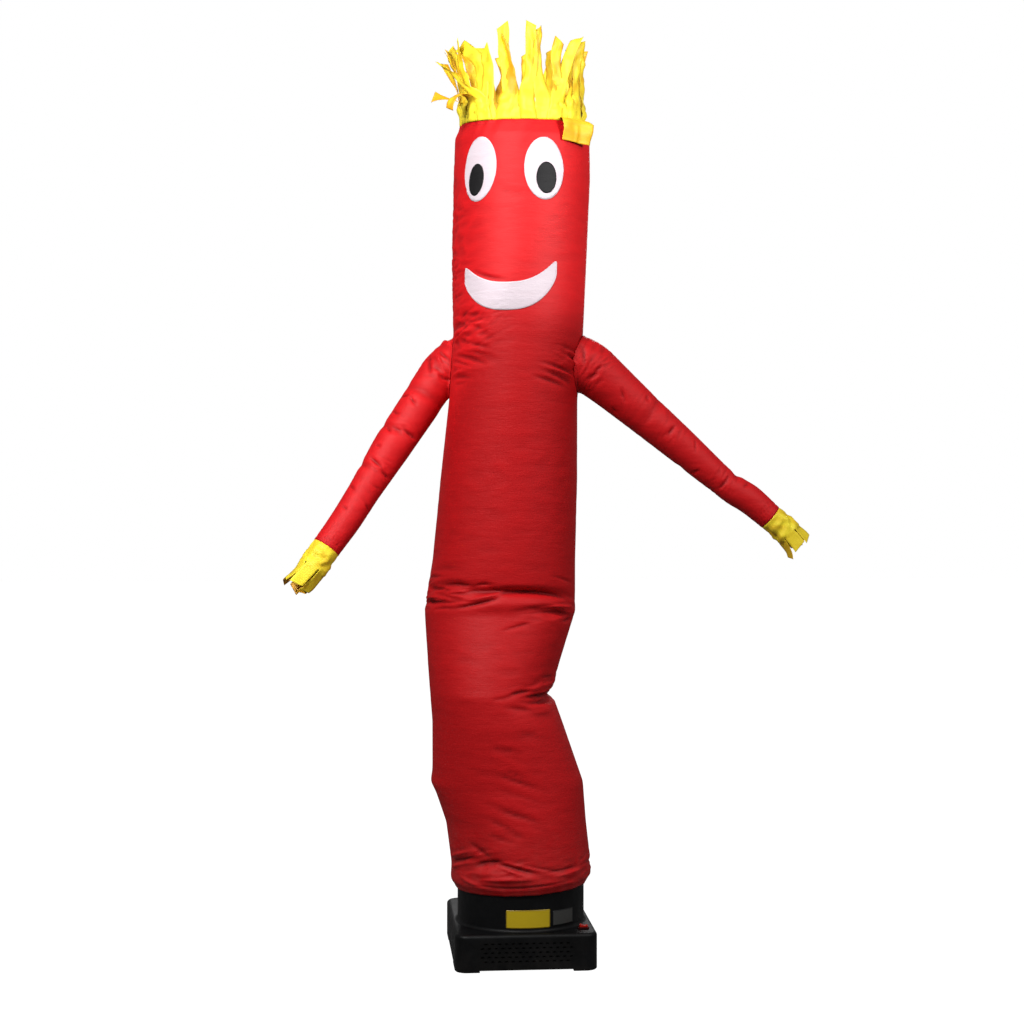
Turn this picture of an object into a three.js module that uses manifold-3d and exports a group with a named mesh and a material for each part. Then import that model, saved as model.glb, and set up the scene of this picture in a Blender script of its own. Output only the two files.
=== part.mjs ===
// An inflatable air dancer: a sewn nylon tube figure, about 3 m tall, that stands on an electric blower.
// Millimetres, +Z up. The origin is on the ground, under the middle of the blower's collar.
// The blower faces -Y. The figure is turned a little on it, in a group of its own whose -Y is its front.
// Angles round the tube run from the front, 0, through the right, 90, to the back, 180.

import * as THREE from "three";
import { mergeVertices } from "three/addons/utils/BufferGeometryUtils.js";
import Module from "manifold-3d";

const wasm = await Module();
wasm.setup();

// ---- Driving dimensions ----

const CLOTH = 2.5; // thickness of the cloth
const GAP = 0.3; // between two pieces that meet
const FIGURE_TURN = -4.9; // degrees

const HEM_Z = 235;
const HEM_TILT = 0.04; // the hem is higher at its right end
const HEM_TILT_TO = 370;
const RIM_Z = 2683; // the top edge of the head, at its sides
const RIM_SLOPE = 0.095; // the rim is lower in front
const RIM_SLOPE_FROM = 2300;
const TUBE_SIDES = 28;

const COLLAR_RADIUS = 205;
const COLLAR_WALL = 5;
const COLLAR_TOP = 282;
const COLLAR_LIP = 8;
const COLLAR_SIDES = 40;

const BASE = { width: 450, front: -225, back: 335, height: 118, corner: 38, edge: 13 };
// Between its feet, each wall is raised off the ground along an arch.
const ARCH = { length: 296, height: 9, depth: 26 };

// The intake slots in each wall: rows of long slots.
const SLOT = { rows: 4, pitch: 15, low: 30, height: 6, length: 286, depth: 5 };

// ---- The figure's sections: its left and right edges, and its middle and half depth from front to back ----

const BODY_SECTIONS = [
  { z: 235, left: -209, right: 211, middle: 0, depth: 210 },
  { z: 262, left: -227, right: 228, middle: 0, depth: 228 },
  { z: 307, left: -225, right: 227, middle: 0, depth: 227 },
  { z: 437, left: -242, right: 212, middle: -5, depth: 226 },
  { z: 567, left: -286, right: 202, middle: -11, depth: 219 },
  { z: 763, left: -286, right: 134, middle: -16, depth: 235 },
  { z: 860, left: -294, right: 99, middle: -10, depth: 243 },
  { z: 958, left: -302, right: 128, middle: 4, depth: 236 },
  { z: 1117, left: -313, right: 178, middle: 24, depth: 218 },
  { z: 1153, left: -309, right: 178, middle: 26, depth: 219 },
  { z: 1283, left: -287, right: 178, middle: 22, depth: 227 },
  { z: 1543, left: -261, right: 184, middle: 8, depth: 230 },
  { z: 1803, left: -232, right: 184, middle: -8, depth: 233 },
  { z: 1907, left: -225, right: 192, middle: -14, depth: 233 },
  { z: 2015, left: -219, right: 202, middle: -18, depth: 233 },
  { z: 2258, left: -221, right: 213, middle: -27, depth: 231 },
  { z: 2519, left: -216, right: 224, middle: -37, depth: 229 },
  { z: 2640, left: -212, right: 222, middle: -42, depth: 224 },
  { z: 2683, left: -193, right: 202, middle: -45, depth: 204 },
];

// Folds of the tube. rise is how much higher the right end is than the middle, bow how much
// higher the middle is than the ends, half the height of the fold is width, and depth is outwards.
const BODY_FOLDS = [
  { z: 1138, angle: 2, span: 98, rise: 4, bow: 52, width: 13, depth: -17 },
  { z: 1106, angle: 0, span: 80, rise: 0, bow: 42, width: 20, depth: 7 },
  { z: 1200, angle: -44, span: 34, rise: 6, bow: 6, width: 13, depth: -10 },
  { z: 1172, angle: -38, span: 40, rise: 10, bow: 4, width: 10, depth: 8 },
  { z: 1118, angle: 38, span: 34, rise: -8, bow: 14, width: 11, depth: -12 },
  { z: 1132, angle: 178, span: 84, rise: -12, bow: 36, width: 15, depth: -15 },
  { z: 1088, angle: 160, span: 50, rise: 14, bow: 16, width: 14, depth: -9 },
  { z: 862, angle: 92, span: 62, rise: 0, bow: -12, width: 13, depth: -17 },
  { z: 888, angle: 62, span: 34, rise: 12, bow: 4, width: 11, depth: 8 },
  { z: 836, angle: 60, span: 36, rise: -6, bow: 4, width: 11, depth: -8 },
  { z: 876, angle: 142, span: 40, rise: -12, bow: 6, width: 12, depth: -10 },
  { z: 2012, angle: -58, span: 32, rise: 26, bow: 0, width: 13, depth: 9 },
  { z: 2040, angle: -62, span: 32, rise: 22, bow: 0, width: 14, depth: -11 },
  { z: 1926, angle: -44, span: 34, rise: -14, bow: 0, width: 12, depth: -7 },
  { z: 300, angle: -14, span: 40, rise: -12, bow: 0, width: 13, depth: 7 },
  { z: 328, angle: -36, span: 36, rise: 14, bow: 0, width: 14, depth: -9 },
  { z: 560, angle: -92, span: 46, rise: 0, bow: 10, width: 26, depth: 5 },
];

// Heights where the rings of the tube stand closer than elsewhere.
const TUBE_STEP = 110;
const FOLD_BANDS = [
  { from: 235, to: 262, step: 9 },
  { from: 262, to: 352, step: 18 },
  { from: 810, to: 926, step: 16.6 },
  { from: 1054, to: 1222, step: 15.3 },
  { from: 1890, to: 2082, step: 32 },
  { from: 2640, to: 2683, step: 22 },
];

// ---- The arms: the middle line and the radius of each section, from inside the body to the wrist ----

const ARM_SIDES = 16;
const ARM_STEP = 50;
const LEFT_ARM = {
  sections: [
    { x: -150, y: 34, z: 1934, radius: 86 },
    { x: -212, y: 40, z: 1921, radius: 83 },
    { x: -250, y: 36, z: 1898, radius: 73 },
    { x: -282, y: 24, z: 1860, radius: 67 },
    { x: -338, y: 3, z: 1772, radius: 65 },
    { x: -418, y: -26, z: 1648, radius: 62 },
    { x: -503, y: -64, z: 1507, radius: 51 },
    { x: -561, y: -94, z: 1411, radius: 49 },
    { x: -620, y: -122, z: 1325, radius: 46 },
  ],
  folds: [
    { at: 0.27, angle: 0, span: 120, width: 17, depth: -8 },
    { at: 0.46, angle: 40, span: 90, width: 13, depth: -6 },
    { at: 0.64, angle: 60, span: 90, width: 12, depth: -5 },
  ],
};
const RIGHT_ARM = {
  sections: [
    { x: 118, y: -30, z: 1924, radius: 92 },
    { x: 190, y: -32, z: 1918, radius: 89 },
    { x: 232, y: -27, z: 1898, radius: 84 },
    { x: 277, y: -20, z: 1863, radius: 78 },
    { x: 389, y: -6, z: 1768, radius: 67 },
    { x: 525, y: 8, z: 1653, radius: 57 },
    { x: 651, y: 18, z: 1545, radius: 46 },
    { x: 700, y: 22, z: 1509, radius: 48 },
    { x: 746, y: 26, z: 1481, radius: 48 },
    { x: 816, y: 30, z: 1422, radius: 43 },
  ],
  folds: [
    { at: 0.4, angle: -20, span: 90, width: 16, depth: -5 },
    { at: 0.62, angle: 150, span: 100, width: 15, depth: -5 },
    { at: 0.8, angle: -90, span: 80, width: 14, depth: -6 },
  ],
};

// ---- Fringes: ribbons that grow from a band. side leans a ribbon round the band, lean leans it outwards,
// and curl and sway are how much more it has leant at its tip. All but length are degrees. ----

const RIBBON_GAP = 4;
const HAIR = { radius: 198, band: 62, ribbons: 30, steps: 5 };
const HAIR_RIBBONS = [
  { angle: -174, length: 205, lean: -6, curl: 20, side: 8, sway: 12, twist: 30 },
  { angle: -162, length: 190, lean: 2, curl: 26, side: -6, sway: -14, twist: -40 },
  { angle: -150, length: 220, lean: -4, curl: 14, side: 4, sway: 10, twist: 20 },
  { angle: -138, length: 200, lean: 4, curl: 30, side: -4, sway: -8, twist: -30 },
  { angle: -126, length: 215, lean: -2, curl: 20, side: 6, sway: 14, twist: 46 },
  { angle: -114, length: 196, lean: 4, curl: 34, side: 0, sway: -10, twist: -24 },
  { angle: -102, length: 204, lean: 0, curl: 26, side: 8, sway: 12, twist: 34 },
  { angle: -90, length: 84, lean: 150, curl: 28, side: 4, sway: 4, twist: 10 },
  { angle: -78, length: 100, lean: 68, curl: 24, side: 4, sway: -4, twist: 30 },
  { angle: -66, length: 182, lean: 28, curl: 10, side: 6, sway: -4, twist: 70 },
  { angle: -54, length: 158, lean: 2, curl: 14, side: 4, sway: -6, twist: 16 },
  { angle: -42, length: 236, lean: -4, curl: 8, side: 14, sway: -84, twist: -26 },
  { angle: -30, length: 156, lean: 0, curl: 10, side: 0, sway: 6, twist: 12 },
  { angle: -18, length: 218, lean: -2, curl: 10, side: 12, sway: -44, twist: 58 },
  { angle: -6, length: 236, lean: 0, curl: 8, side: 0, sway: -10, twist: -46 },
  { angle: 6, length: 246, lean: -2, curl: 8, side: 0, sway: 4, twist: 26 },
  { angle: 18, length: 226, lean: -4, curl: 8, side: -4, sway: -12, twist: -22 },
  { angle: 30, length: 214, lean: -2, curl: 10, side: -6, sway: 20, twist: 40 },
  { angle: 42, length: 124, lean: 152, curl: 34, side: 0, sway: -4, twist: -4 },
  { angle: 54, length: 120, lean: 150, curl: 34, side: 0, sway: 4, twist: 4 },
  { angle: 66, length: 116, lean: 148, curl: 36, side: 0, sway: 4, twist: 4 },
  { angle: 78, length: 196, lean: -4, curl: 4, side: -8, sway: -14, twist: 24 },
  { angle: 90, length: 180, lean: -4, curl: -4, side: -2, sway: -10, twist: -20 },
  { angle: 102, length: 206, lean: -4, curl: 10, side: 2, sway: 14, twist: 30 },
  { angle: 114, length: 196, lean: 0, curl: 16, side: -4, sway: -8, twist: -36 },
  { angle: 126, length: 222, lean: -6, curl: 18, side: 6, sway: 12, twist: 24 },
  { angle: 138, length: 194, lean: 2, curl: 30, side: -6, sway: -12, twist: -30 },
  { angle: 150, length: 216, lean: -4, curl: 16, side: 4, sway: 8, twist: 36 },
  { angle: 162, length: 202, lean: 4, curl: 28, side: 0, sway: -14, twist: -22 },
  { angle: 174, length: 212, lean: -8, curl: 22, side: -4, sway: 10, twist: 28 },
];

const HAND = { cuff: 78, ribbons: 6, steps: 4 };
const LEFT_HAND = {
  droop: 0,
  ribbons: [
    { angle: 0, length: 84, lean: 0, curl: 10, side: 10, sway: 10, twist: 14 },
    { angle: 60, length: 90, lean: 4, curl: 12, side: 0, sway: -6, twist: -20 },
    { angle: 120, length: 92, lean: 6, curl: 22, side: 0, sway: 8, twist: 16 },
    { angle: 180, length: 80, lean: -4, curl: 10, side: -4, sway: -6, twist: -12 },
    { angle: 240, length: 78, lean: -12, curl: -14, side: 0, sway: -6, twist: 20 },
    { angle: 300, length: 86, lean: -14, curl: -10, side: 0, sway: 6, twist: -16 },
  ],
};
const RIGHT_HAND = {
  droop: 10,
  ribbons: [
    { angle: 0, length: 58, lean: -2, curl: 6, side: 6, sway: 12, twist: 12 },
    { angle: 60, length: 66, lean: 8, curl: 34, side: 4, sway: 6, twist: -14 },
    { angle: 120, length: 70, lean: 4, curl: 30, side: 4, sway: -6, twist: 18 },
    { angle: 180, length: 62, lean: 0, curl: 6, side: 0, sway: -8, twist: -16 },
    { angle: 240, length: 54, lean: 0, curl: -4, side: 0, sway: -4, twist: 10 },
    { angle: 300, length: 58, lean: 2, curl: 0, side: -2, sway: 4, twist: -12 },
  ],
};

// ---- The face: patches sewn on the head. span is half the width in degrees, and lean is how far the top
// stands to the right of the middle, in degrees. ----

const FACE_CLOTH = 1.5;
const FACE_LIFT = 0.9;
const EYES = [
  { name: "left", angle: -38.6, z: 2526, span: 16.8, half: 104, lean: 3.4 },
  { name: "right", angle: 18.6, z: 2523, span: 17.2, half: 102, lean: -1.2 },
];
const PUPILS = [
  { name: "left", angle: -40.6, z: 2492, span: 7.8, half: 51, lean: 1.7 },
  { name: "right", angle: 20.2, z: 2492, span: 8.6, half: 51, lean: -0.4 },
];
const SMILE = { angle: -9.9, span: 42.6, z: 2214, upperSag: 56, lowerSag: 145, fullness: 2.4 };

// ---- What is on the blower ----

const LABELS = [
  { name: "label_yellow", angle: 1.8, span: 19.9, low: 131, high: 189 },
  { name: "label_grey", angle: 36.4, span: 12, low: 134, high: 182 },
];
const LABEL_THICKNESS = 0.6;

// The switch: a rocker in a bezel. Heights are above the deck, and the rocker is drawn level.
const SWITCH = { x: 186, y: -158, length: 34, width: 24, height: 6, wall: 3.3, pivot: 6.4, tilt: 8 };
const ROCKER = { half: 12.5, width: 16, top: 7, dip: 4, side: -1.6, keel: -5 };
const GLAND = { x: 130, z: 46, radius: 10, bore: 4.5, length: 13 };

// ---- Materials ----

function material(colour, roughness) {
  return new THREE.MeshStandardMaterial({ color: colour, roughness, metalness: 0 });
}

const RED_NYLON = material(0xd02325, 0.5);
const YELLOW_NYLON = material(0xf2df35, 0.5);
const WHITE_NYLON = material(0xf3eef0, 0.55);
const BLACK_NYLON = material(0x2c2a2c, 0.55);
const BLACK_PLASTIC = material(0x0d0d0f, 0.45);
const YELLOW_FILM = material(0xd9bd12, 0.4);
const GREY_FILM = material(0x5a5a58, 0.5);
const RED_PLASTIC = material(0xb4140f, 0.3);

// ---- Small helpers ----

const radians = THREE.MathUtils.degToRad;
const UP = new THREE.Vector3(0, 0, 1);

function smooth(t) {
  const c = THREE.MathUtils.clamp(t, 0, 1);
  return c * c * (3 - 2 * c);
}

// The row of a table at a height, worked out between the rows on either side of it.
function between(rows, key, at) {
  const last = rows.length - 1;
  let i = 0;
  while (i < last - 1 && rows[i + 1][key] < at) i += 1;
  const share = (at - rows[i][key]) / (rows[i + 1][key] - rows[i][key]);
  const found = {};
  for (const column of Object.keys(rows[i])) {
    found[column] = THREE.MathUtils.lerp(rows[i][column], rows[i + 1][column], share);
  }
  return found;
}

// How far a is from b round a circle, in degrees from -180 to 180.
function turnFrom(a, b) {
  return THREE.MathUtils.euclideanModulo(a - b + 180, 360) - 180;
}

// A closed surface through rings of points, each counter-clockwise as seen from the last ring.
// The ends are flat faces, or points where an end ring holds a single point.
function solidFromRings(rings) {
  const points = rings.flat();
  const starts = [];
  let count = 0;
  for (const ring of rings) {
    starts.push(count);
    count += ring.length;
  }
  const faces = [];
  for (let i = 0; i + 1 < rings.length; i += 1) {
    const low = rings[i].length;
    const high = rings[i + 1].length;
    const sides = Math.max(low, high);
    for (let j = 0; j < sides; j += 1) {
      const k = (j + 1) % sides;
      const a = starts[i] + (low === 1 ? 0 : j);
      const b = starts[i] + (low === 1 ? 0 : k);
      const c = starts[i + 1] + (high === 1 ? 0 : k);
      const d = starts[i + 1] + (high === 1 ? 0 : j);
      if (low > 1) faces.push(a, b, c);
      if (high > 1) faces.push(a, c, d);
    }
  }
  const top = starts[rings.length - 1];
  for (let j = 1; j + 1 < rings[0].length; j += 1) faces.push(0, j + 1, j);
  for (let j = 1; j + 1 < rings[rings.length - 1].length; j += 1) {
    faces.push(top, top + j, top + j + 1);
  }
  return geometryOf(points, faces);
}

// An open tube with a wall: up the outer rings, and down the inner ones.
function tubeFromRings(outer, inner) {
  const rings = [...outer, ...inner.slice().reverse()];
  const sides = outer[0].length;
  const faces = [];
  for (let i = 0; i < rings.length; i += 1) {
    const next = (i + 1) % rings.length;
    for (let j = 0; j < sides; j += 1) {
      const k = (j + 1) % sides;
      faces.push(i * sides + j, i * sides + k, next * sides + k);
      faces.push(i * sides + j, next * sides + k, next * sides + j);
    }
  }
  return geometryOf(rings.flat(), faces);
}

function geometryOf(points, faces) {
  const geometry = new THREE.BufferGeometry().setFromPoints(points);
  geometry.setIndex(faces);
  geometry.computeVertexNormals();
  return geometry;
}

function solidOf(geometry) {
  const bare = geometry.clone();
  bare.deleteAttribute("normal");
  bare.deleteAttribute("uv");
  const merged = mergeVertices(bare, 1e-4);
  const mesh = new wasm.Mesh({
    numProp: 3,
    vertProperties: new Float32Array(merged.getAttribute("position").array),
    triVerts: new Uint32Array(merged.index.array),
  });
  return new wasm.Manifold(mesh);
}

function geometryFrom(solid) {
  const mesh = solid.getMesh();
  const geometry = new THREE.BufferGeometry();
  geometry.setAttribute("position", new THREE.BufferAttribute(mesh.vertProperties, 3));
  geometry.setIndex(new THREE.BufferAttribute(mesh.triVerts, 1));
  geometry.computeVertexNormals();
  return geometry;
}

function piece(name, geometry, look) {
  const mesh = new THREE.Mesh(geometry, look);
  mesh.name = name;
  return mesh;
}

// ---- The body tube ----

function foldDepth(angle, z) {
  let depth = 0;
  for (const fold of BODY_FOLDS) {
    const t = turnFrom(angle, fold.angle) / fold.span;
    if (Math.abs(t) >= 1) continue;
    const line = fold.z + fold.rise * t + fold.bow * (1 - t * t);
    const off = (z - line) / fold.width;
    depth += fold.depth * (1 - t * t) ** 2 * Math.exp(-off * off);
  }
  return depth;
}

// A point of the tube at an angle and a height, moved outwards by lift.
function bodyPoint(angle, z, lift) {
  const section = between(BODY_SECTIONS, "z", z);
  const centre = (section.left + section.right) / 2;
  const half = (section.right - section.left) / 2;
  const out = lift + foldDepth(angle, z);
  const x = centre + (half + out) * Math.sin(radians(angle));
  const fromMiddle = -(section.depth + out) * Math.cos(radians(angle));
  const sloped = smooth((z - RIM_SLOPE_FROM) / (RIM_Z - RIM_SLOPE_FROM));
  const tilted = smooth((HEM_TILT_TO - z) / (HEM_TILT_TO - HEM_Z));
  const height = z + RIM_SLOPE * sloped * fromMiddle + HEM_TILT * tilted * (x - centre);
  return new THREE.Vector3(x, section.middle + fromMiddle, height);
}

function tubeHeights() {
  const heights = [HEM_Z];
  while (heights[heights.length - 1] < RIM_Z) {
    const z = heights[heights.length - 1];
    const band = FOLD_BANDS.find((b) => z >= b.from - 1e-6 && z < b.to - 1e-6);
    const next = FOLD_BANDS.find((b) => b.from > z + 1e-6);
    const limit = band ? band.to : (next ? next.from : RIM_Z);
    const step = band ? band.step : TUBE_STEP;
    const steps = Math.max(1, Math.ceil((limit - z) / step - 1e-6));
    heights.push(z + (limit - z) / steps);
  }
  heights[heights.length - 1] = RIM_Z;
  return heights;
}

function bodyRings(lift) {
  return tubeHeights().map((z) => {
    const ring = [];
    for (let j = 0; j < TUBE_SIDES; j += 1) ring.push(bodyPoint((j * 360) / TUBE_SIDES, z, lift));
    return ring;
  });
}

// ---- The arms ----

// Rings round an arm's middle line. Angle 0 faces the front, and angles grow counter-clockwise as seen
// from the hand.
function armRings(arm, lift) {
  const line = new THREE.CatmullRomCurve3(
    arm.sections.map((s) => new THREE.Vector3(s.x, s.y, s.z)),
    false,
    "centripetal",
  );
  const length = line.getLength();
  const steps = Math.round(length / ARM_STEP);
  const rings = [];
  for (let i = 0; i <= steps; i += 1) {
    const share = i / steps;
    const place = line.getPointAt(share);
    const along = line.getTangentAt(share);
    const section = line.getUtoTmapping(share, undefined) * (arm.sections.length - 1);
    const row = Math.min(Math.floor(section), arm.sections.length - 2);
    const radius = THREE.MathUtils.lerp(
      arm.sections[row].radius,
      arm.sections[row + 1].radius,
      section - row,
    );
    rings.push(armRing(arm, place, along, share, share * length, radius + lift));
  }
  return rings;
}

function armFrame(along) {
  const front = new THREE.Vector3(0, -1, 0);
  front.addScaledVector(along, -front.dot(along)).normalize();
  return { front, side: new THREE.Vector3().crossVectors(along, front) };
}

function armRing(arm, place, along, share, distance, radius) {
  const { front, side } = armFrame(along);
  const length = distance / Math.max(share, 1e-9);
  const ring = [];
  for (let j = 0; j < ARM_SIDES; j += 1) {
    const angle = (j * 360) / ARM_SIDES;
    let out = radius;
    for (const fold of arm.folds) {
      const t = turnFrom(angle, fold.angle) / fold.span;
      if (Math.abs(t) >= 1) continue;
      const off = (distance - fold.at * length) / fold.width;
      out += fold.depth * (1 - t * t) ** 2 * Math.exp(-off * off);
    }
    ring.push(
      place
        .clone()
        .addScaledVector(front, out * Math.cos(radians(angle)))
        .addScaledVector(side, out * Math.sin(radians(angle))),
    );
  }
  return ring;
}

// ---- Fringes ----

// A ribbon that starts at a point, with its face outwards and its width along round.
function ribbon(root, up, outwards, round, width, row, steps) {
  const rings = [];
  const place = root.clone();
  const step = row.length / steps;
  for (let i = 0; i <= steps; i += 1) {
    const share = i / steps;
    const lean = radians(row.lean + row.curl * share);
    const side = radians(row.side + row.sway * share);
    const along = new THREE.Vector3()
      .addScaledVector(up, Math.cos(lean) * Math.cos(side))
      .addScaledVector(outwards, Math.sin(lean) * Math.cos(side))
      .addScaledVector(round, Math.sin(side));
    const face = new THREE.Vector3().crossVectors(round, along).normalize();
    const across = new THREE.Vector3().crossVectors(along, face).normalize();
    const twist = radians(row.twist * share);
    const w = across
      .clone()
      .multiplyScalar(Math.cos(twist))
      .addScaledVector(face, Math.sin(twist))
      .multiplyScalar(width / 2);
    const t = new THREE.Vector3().crossVectors(w, along).normalize().multiplyScalar(CLOTH / 2);
    rings.push([
      place.clone().sub(w).add(t),
      place.clone().add(w).add(t),
      place.clone().add(w).sub(t),
      place.clone().sub(w).sub(t),
    ]);
    place.addScaledVector(along, step);
  }
  return solidOf(solidFromRings(rings));
}

// The hair: a band that stands on the rim of the head, and its ribbons.
function hairRing(share, lift) {
  const ring = [];
  const sides = HAIR.ribbons * 2;
  for (let j = 0; j < sides; j += 1) {
    const angle = (j * 360) / sides;
    const rim = bodyPoint(angle, RIM_Z, lift);
    ring.push(rim.addScaledVector(UP, GAP + share * HAIR.band));
  }
  return ring;
}

function hairGeometry() {
  const outer = [hairRing(0, 0), hairRing(1, 0)];
  const inner = [hairRing(0, -CLOTH), hairRing(1, -CLOTH)];
  let hair = solidOf(tubeFromRings(outer, inner));
  const width = (2 * Math.PI * HAIR.radius) / HAIR.ribbons - RIBBON_GAP;
  for (const row of HAIR_RIBBONS) {
    const outwards = new THREE.Vector3(Math.sin(radians(row.angle)), -Math.cos(radians(row.angle)), 0);
    const round = new THREE.Vector3(-outwards.y, outwards.x, 0);
    const root = bodyPoint(row.angle, RIM_Z, -CLOTH / 2).addScaledVector(UP, HAIR.band - 3);
    hair = hair.add(ribbon(root, UP, outwards, round, width, row, HAIR.steps));
  }
  return geometryFrom(hair);
}

// A hand: a cuff that goes on from the end of the arm, and its ribbons.
function handGeometry(arm, hand) {
  const wrist = arm.sections[arm.sections.length - 1];
  const before = arm.sections[arm.sections.length - 2];
  const place = new THREE.Vector3(wrist.x, wrist.y, wrist.z);
  const start = place.clone().sub(new THREE.Vector3(before.x, before.y, before.z)).normalize();
  const outer = [];
  const inner = [];
  const steps = HAND.steps;
  let along = start.clone();
  place.addScaledVector(start, GAP);
  for (let i = 0; i <= steps; i += 1) {
    const share = i / steps;
    along = start.clone().addScaledVector(UP, -Math.tan(radians(hand.droop)) * share).normalize();
    outer.push(armRing({ folds: [] }, place, along, share, share, wrist.radius));
    inner.push(armRing({ folds: [] }, place, along, share, share, wrist.radius - CLOTH));
    if (i < steps) place.addScaledVector(along, HAND.cuff / steps);
  }
  let solid = solidOf(tubeFromRings(outer, inner));
  const { front, side } = armFrame(along);
  const width = (2 * Math.PI * wrist.radius) / HAND.ribbons - RIBBON_GAP;
  for (const row of hand.ribbons) {
    const outwards = front
      .clone()
      .multiplyScalar(Math.cos(radians(row.angle)))
      .addScaledVector(side, Math.sin(radians(row.angle)));
    const round = new THREE.Vector3().crossVectors(along, outwards);
    const root = place
      .clone()
      .addScaledVector(outwards, wrist.radius - CLOTH)
      .addScaledVector(along, -4);
    solid = solid.add(ribbon(root, along, outwards, round, width, row, HAND.steps));
  }
  return geometryFrom(solid);
}

// ---- The face ----

// A patch on the head between an upper and a lower edge, both given as heights at s from -1 to 1.
function patchGeometry(angleAt, upper, lower, lift, columns, rows) {
  const rings = [];
  for (let i = 0; i <= columns; i += 1) {
    const s = -Math.cos((Math.PI * i) / columns);
    if (i === 0 || i === columns) {
      rings.push([bodyPoint(angleAt(s, upper(s)), upper(s), lift + FACE_CLOTH / 2)]);
      continue;
    }
    const outer = [];
    const inner = [];
    for (let j = 0; j <= rows; j += 1) {
      const z = THREE.MathUtils.lerp(lower(s), upper(s), j / rows);
      outer.push(bodyPoint(angleAt(s, z), z, lift + FACE_CLOTH));
      inner.push(bodyPoint(angleAt(s, z), z, lift));
    }
    rings.push([...inner, ...outer.reverse()]);
  }
  return solidFromRings(rings);
}

function ovalGeometry(oval, lift) {
  const edge = (s) => oval.half * Math.sqrt(Math.max(0, 1 - s * s));
  return patchGeometry(
    (s, z) => oval.angle + oval.span * s + (oval.lean * (z - oval.z)) / oval.half,
    (s) => oval.z + edge(s),
    (s) => oval.z - edge(s),
    lift,
    12,
    4,
  );
}

function smileGeometry() {
  const s2 = (s) => 1 - s * s;
  const full = (s) => Math.sqrt(Math.max(0, 1 - Math.abs(s) ** SMILE.fullness));
  return patchGeometry(
    (s) => SMILE.angle + SMILE.span * s,
    (s) => SMILE.z - SMILE.upperSag * s2(s),
    (s) => SMILE.z - SMILE.lowerSag * full(s),
    FACE_LIFT,
    22,
    3,
  );
}

// ---- The blower ----

// The outline of the base, drawn in from its walls by inset.
function baseOutline(inset, z) {
  const ring = [];
  const corner = BASE.corner - inset;
  const right = BASE.width / 2 - BASE.corner;
  const middles = [
    { x: right, y: BASE.back - BASE.corner },
    { x: -right, y: BASE.back - BASE.corner },
    { x: -right, y: BASE.front + BASE.corner },
    { x: right, y: BASE.front + BASE.corner },
  ];
  const cornerSteps = 5;
  middles.forEach((middle, quarter) => {
    for (let i = 0; i <= cornerSteps; i += 1) {
      const angle = ((quarter + i / cornerSteps) * Math.PI) / 2;
      const x = middle.x + corner * Math.cos(angle);
      ring.push(new THREE.Vector3(x, middle.y + corner * Math.sin(angle), z));
    }
  });
  return ring;
}

function block(width, depth, height, x, y, z) {
  return solidOf(new THREE.BoxGeometry(width, depth, height).translate(x, y, z));
}

function baseGeometry() {
  const rings = [baseOutline(0, 0)];
  for (let i = 0; i <= 4; i += 1) {
    const turn = ((i / 4) * Math.PI) / 2;
    const drop = BASE.edge * (1 - Math.sin(turn));
    rings.push(baseOutline(BASE.edge * (1 - Math.cos(turn)), BASE.height - drop));
  }
  let base = solidOf(solidFromRings(rings));
  const middle = (BASE.front + BASE.back) / 2;
  const walls = [
    { x: 0, y: BASE.front, across: true },
    { x: 0, y: BASE.back, across: true },
    { x: -BASE.width / 2, y: middle, across: false },
    { x: BASE.width / 2, y: middle, across: false },
  ];
  for (const wall of walls) {
    const cut = (length, deep, height, z) =>
      block(wall.across ? length : 2 * deep, wall.across ? 2 * deep : length, height, wall.x, wall.y, z);
    base = base.subtract(cut(ARCH.length, ARCH.depth, 2 * ARCH.height, 0));
    for (let i = 0; i < SLOT.rows; i += 1) {
      base = base.subtract(cut(SLOT.length, SLOT.depth, SLOT.height, SLOT.low + i * SLOT.pitch));
    }
  }
  return geometryFrom(base);
}

function collarGeometry() {
  const low = BASE.height + GAP;
  const inner = COLLAR_RADIUS - COLLAR_WALL;
  const lip = COLLAR_RADIUS + COLLAR_LIP;
  const profile = [
    [inner, low],
    [COLLAR_RADIUS, low],
    [COLLAR_RADIUS, COLLAR_TOP - 3 * COLLAR_LIP],
    [lip, COLLAR_TOP - 2 * COLLAR_LIP],
    [lip, COLLAR_TOP - COLLAR_LIP / 2],
    [lip - COLLAR_LIP / 2, COLLAR_TOP],
    [inner, COLLAR_TOP],
    [inner, low],
  ].map(([radius, z]) => new THREE.Vector2(radius, z));
  return new THREE.LatheGeometry(profile, COLLAR_SIDES).rotateX(Math.PI / 2);
}

function labelGeometry(label) {
  const rings = [];
  const steps = 8;
  for (let i = 0; i <= steps; i += 1) {
    const angle = radians(label.angle + label.span * (1 - (2 * i) / steps));
    const at = (radius, z) =>
      new THREE.Vector3(radius * Math.sin(angle), -radius * Math.cos(angle), z);
    const near = COLLAR_RADIUS + GAP;
    const far = near + LABEL_THICKNESS;
    rings.push([at(near, label.low), at(far, label.low), at(far, label.high), at(near, label.high)]);
  }
  return solidFromRings(rings);
}

function bezelGeometry() {
  const { length, width, height, wall } = SWITCH;
  const outer = block(length, width, height, 0, 0, height / 2);
  const inner = block(length - 2 * wall, width - 2 * wall, 3 * height, 0, 0, height / 2);
  const bezel = geometryFrom(outer.subtract(inner));
  return bezel.translate(SWITCH.x, SWITCH.y, BASE.height + GAP);
}

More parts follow.
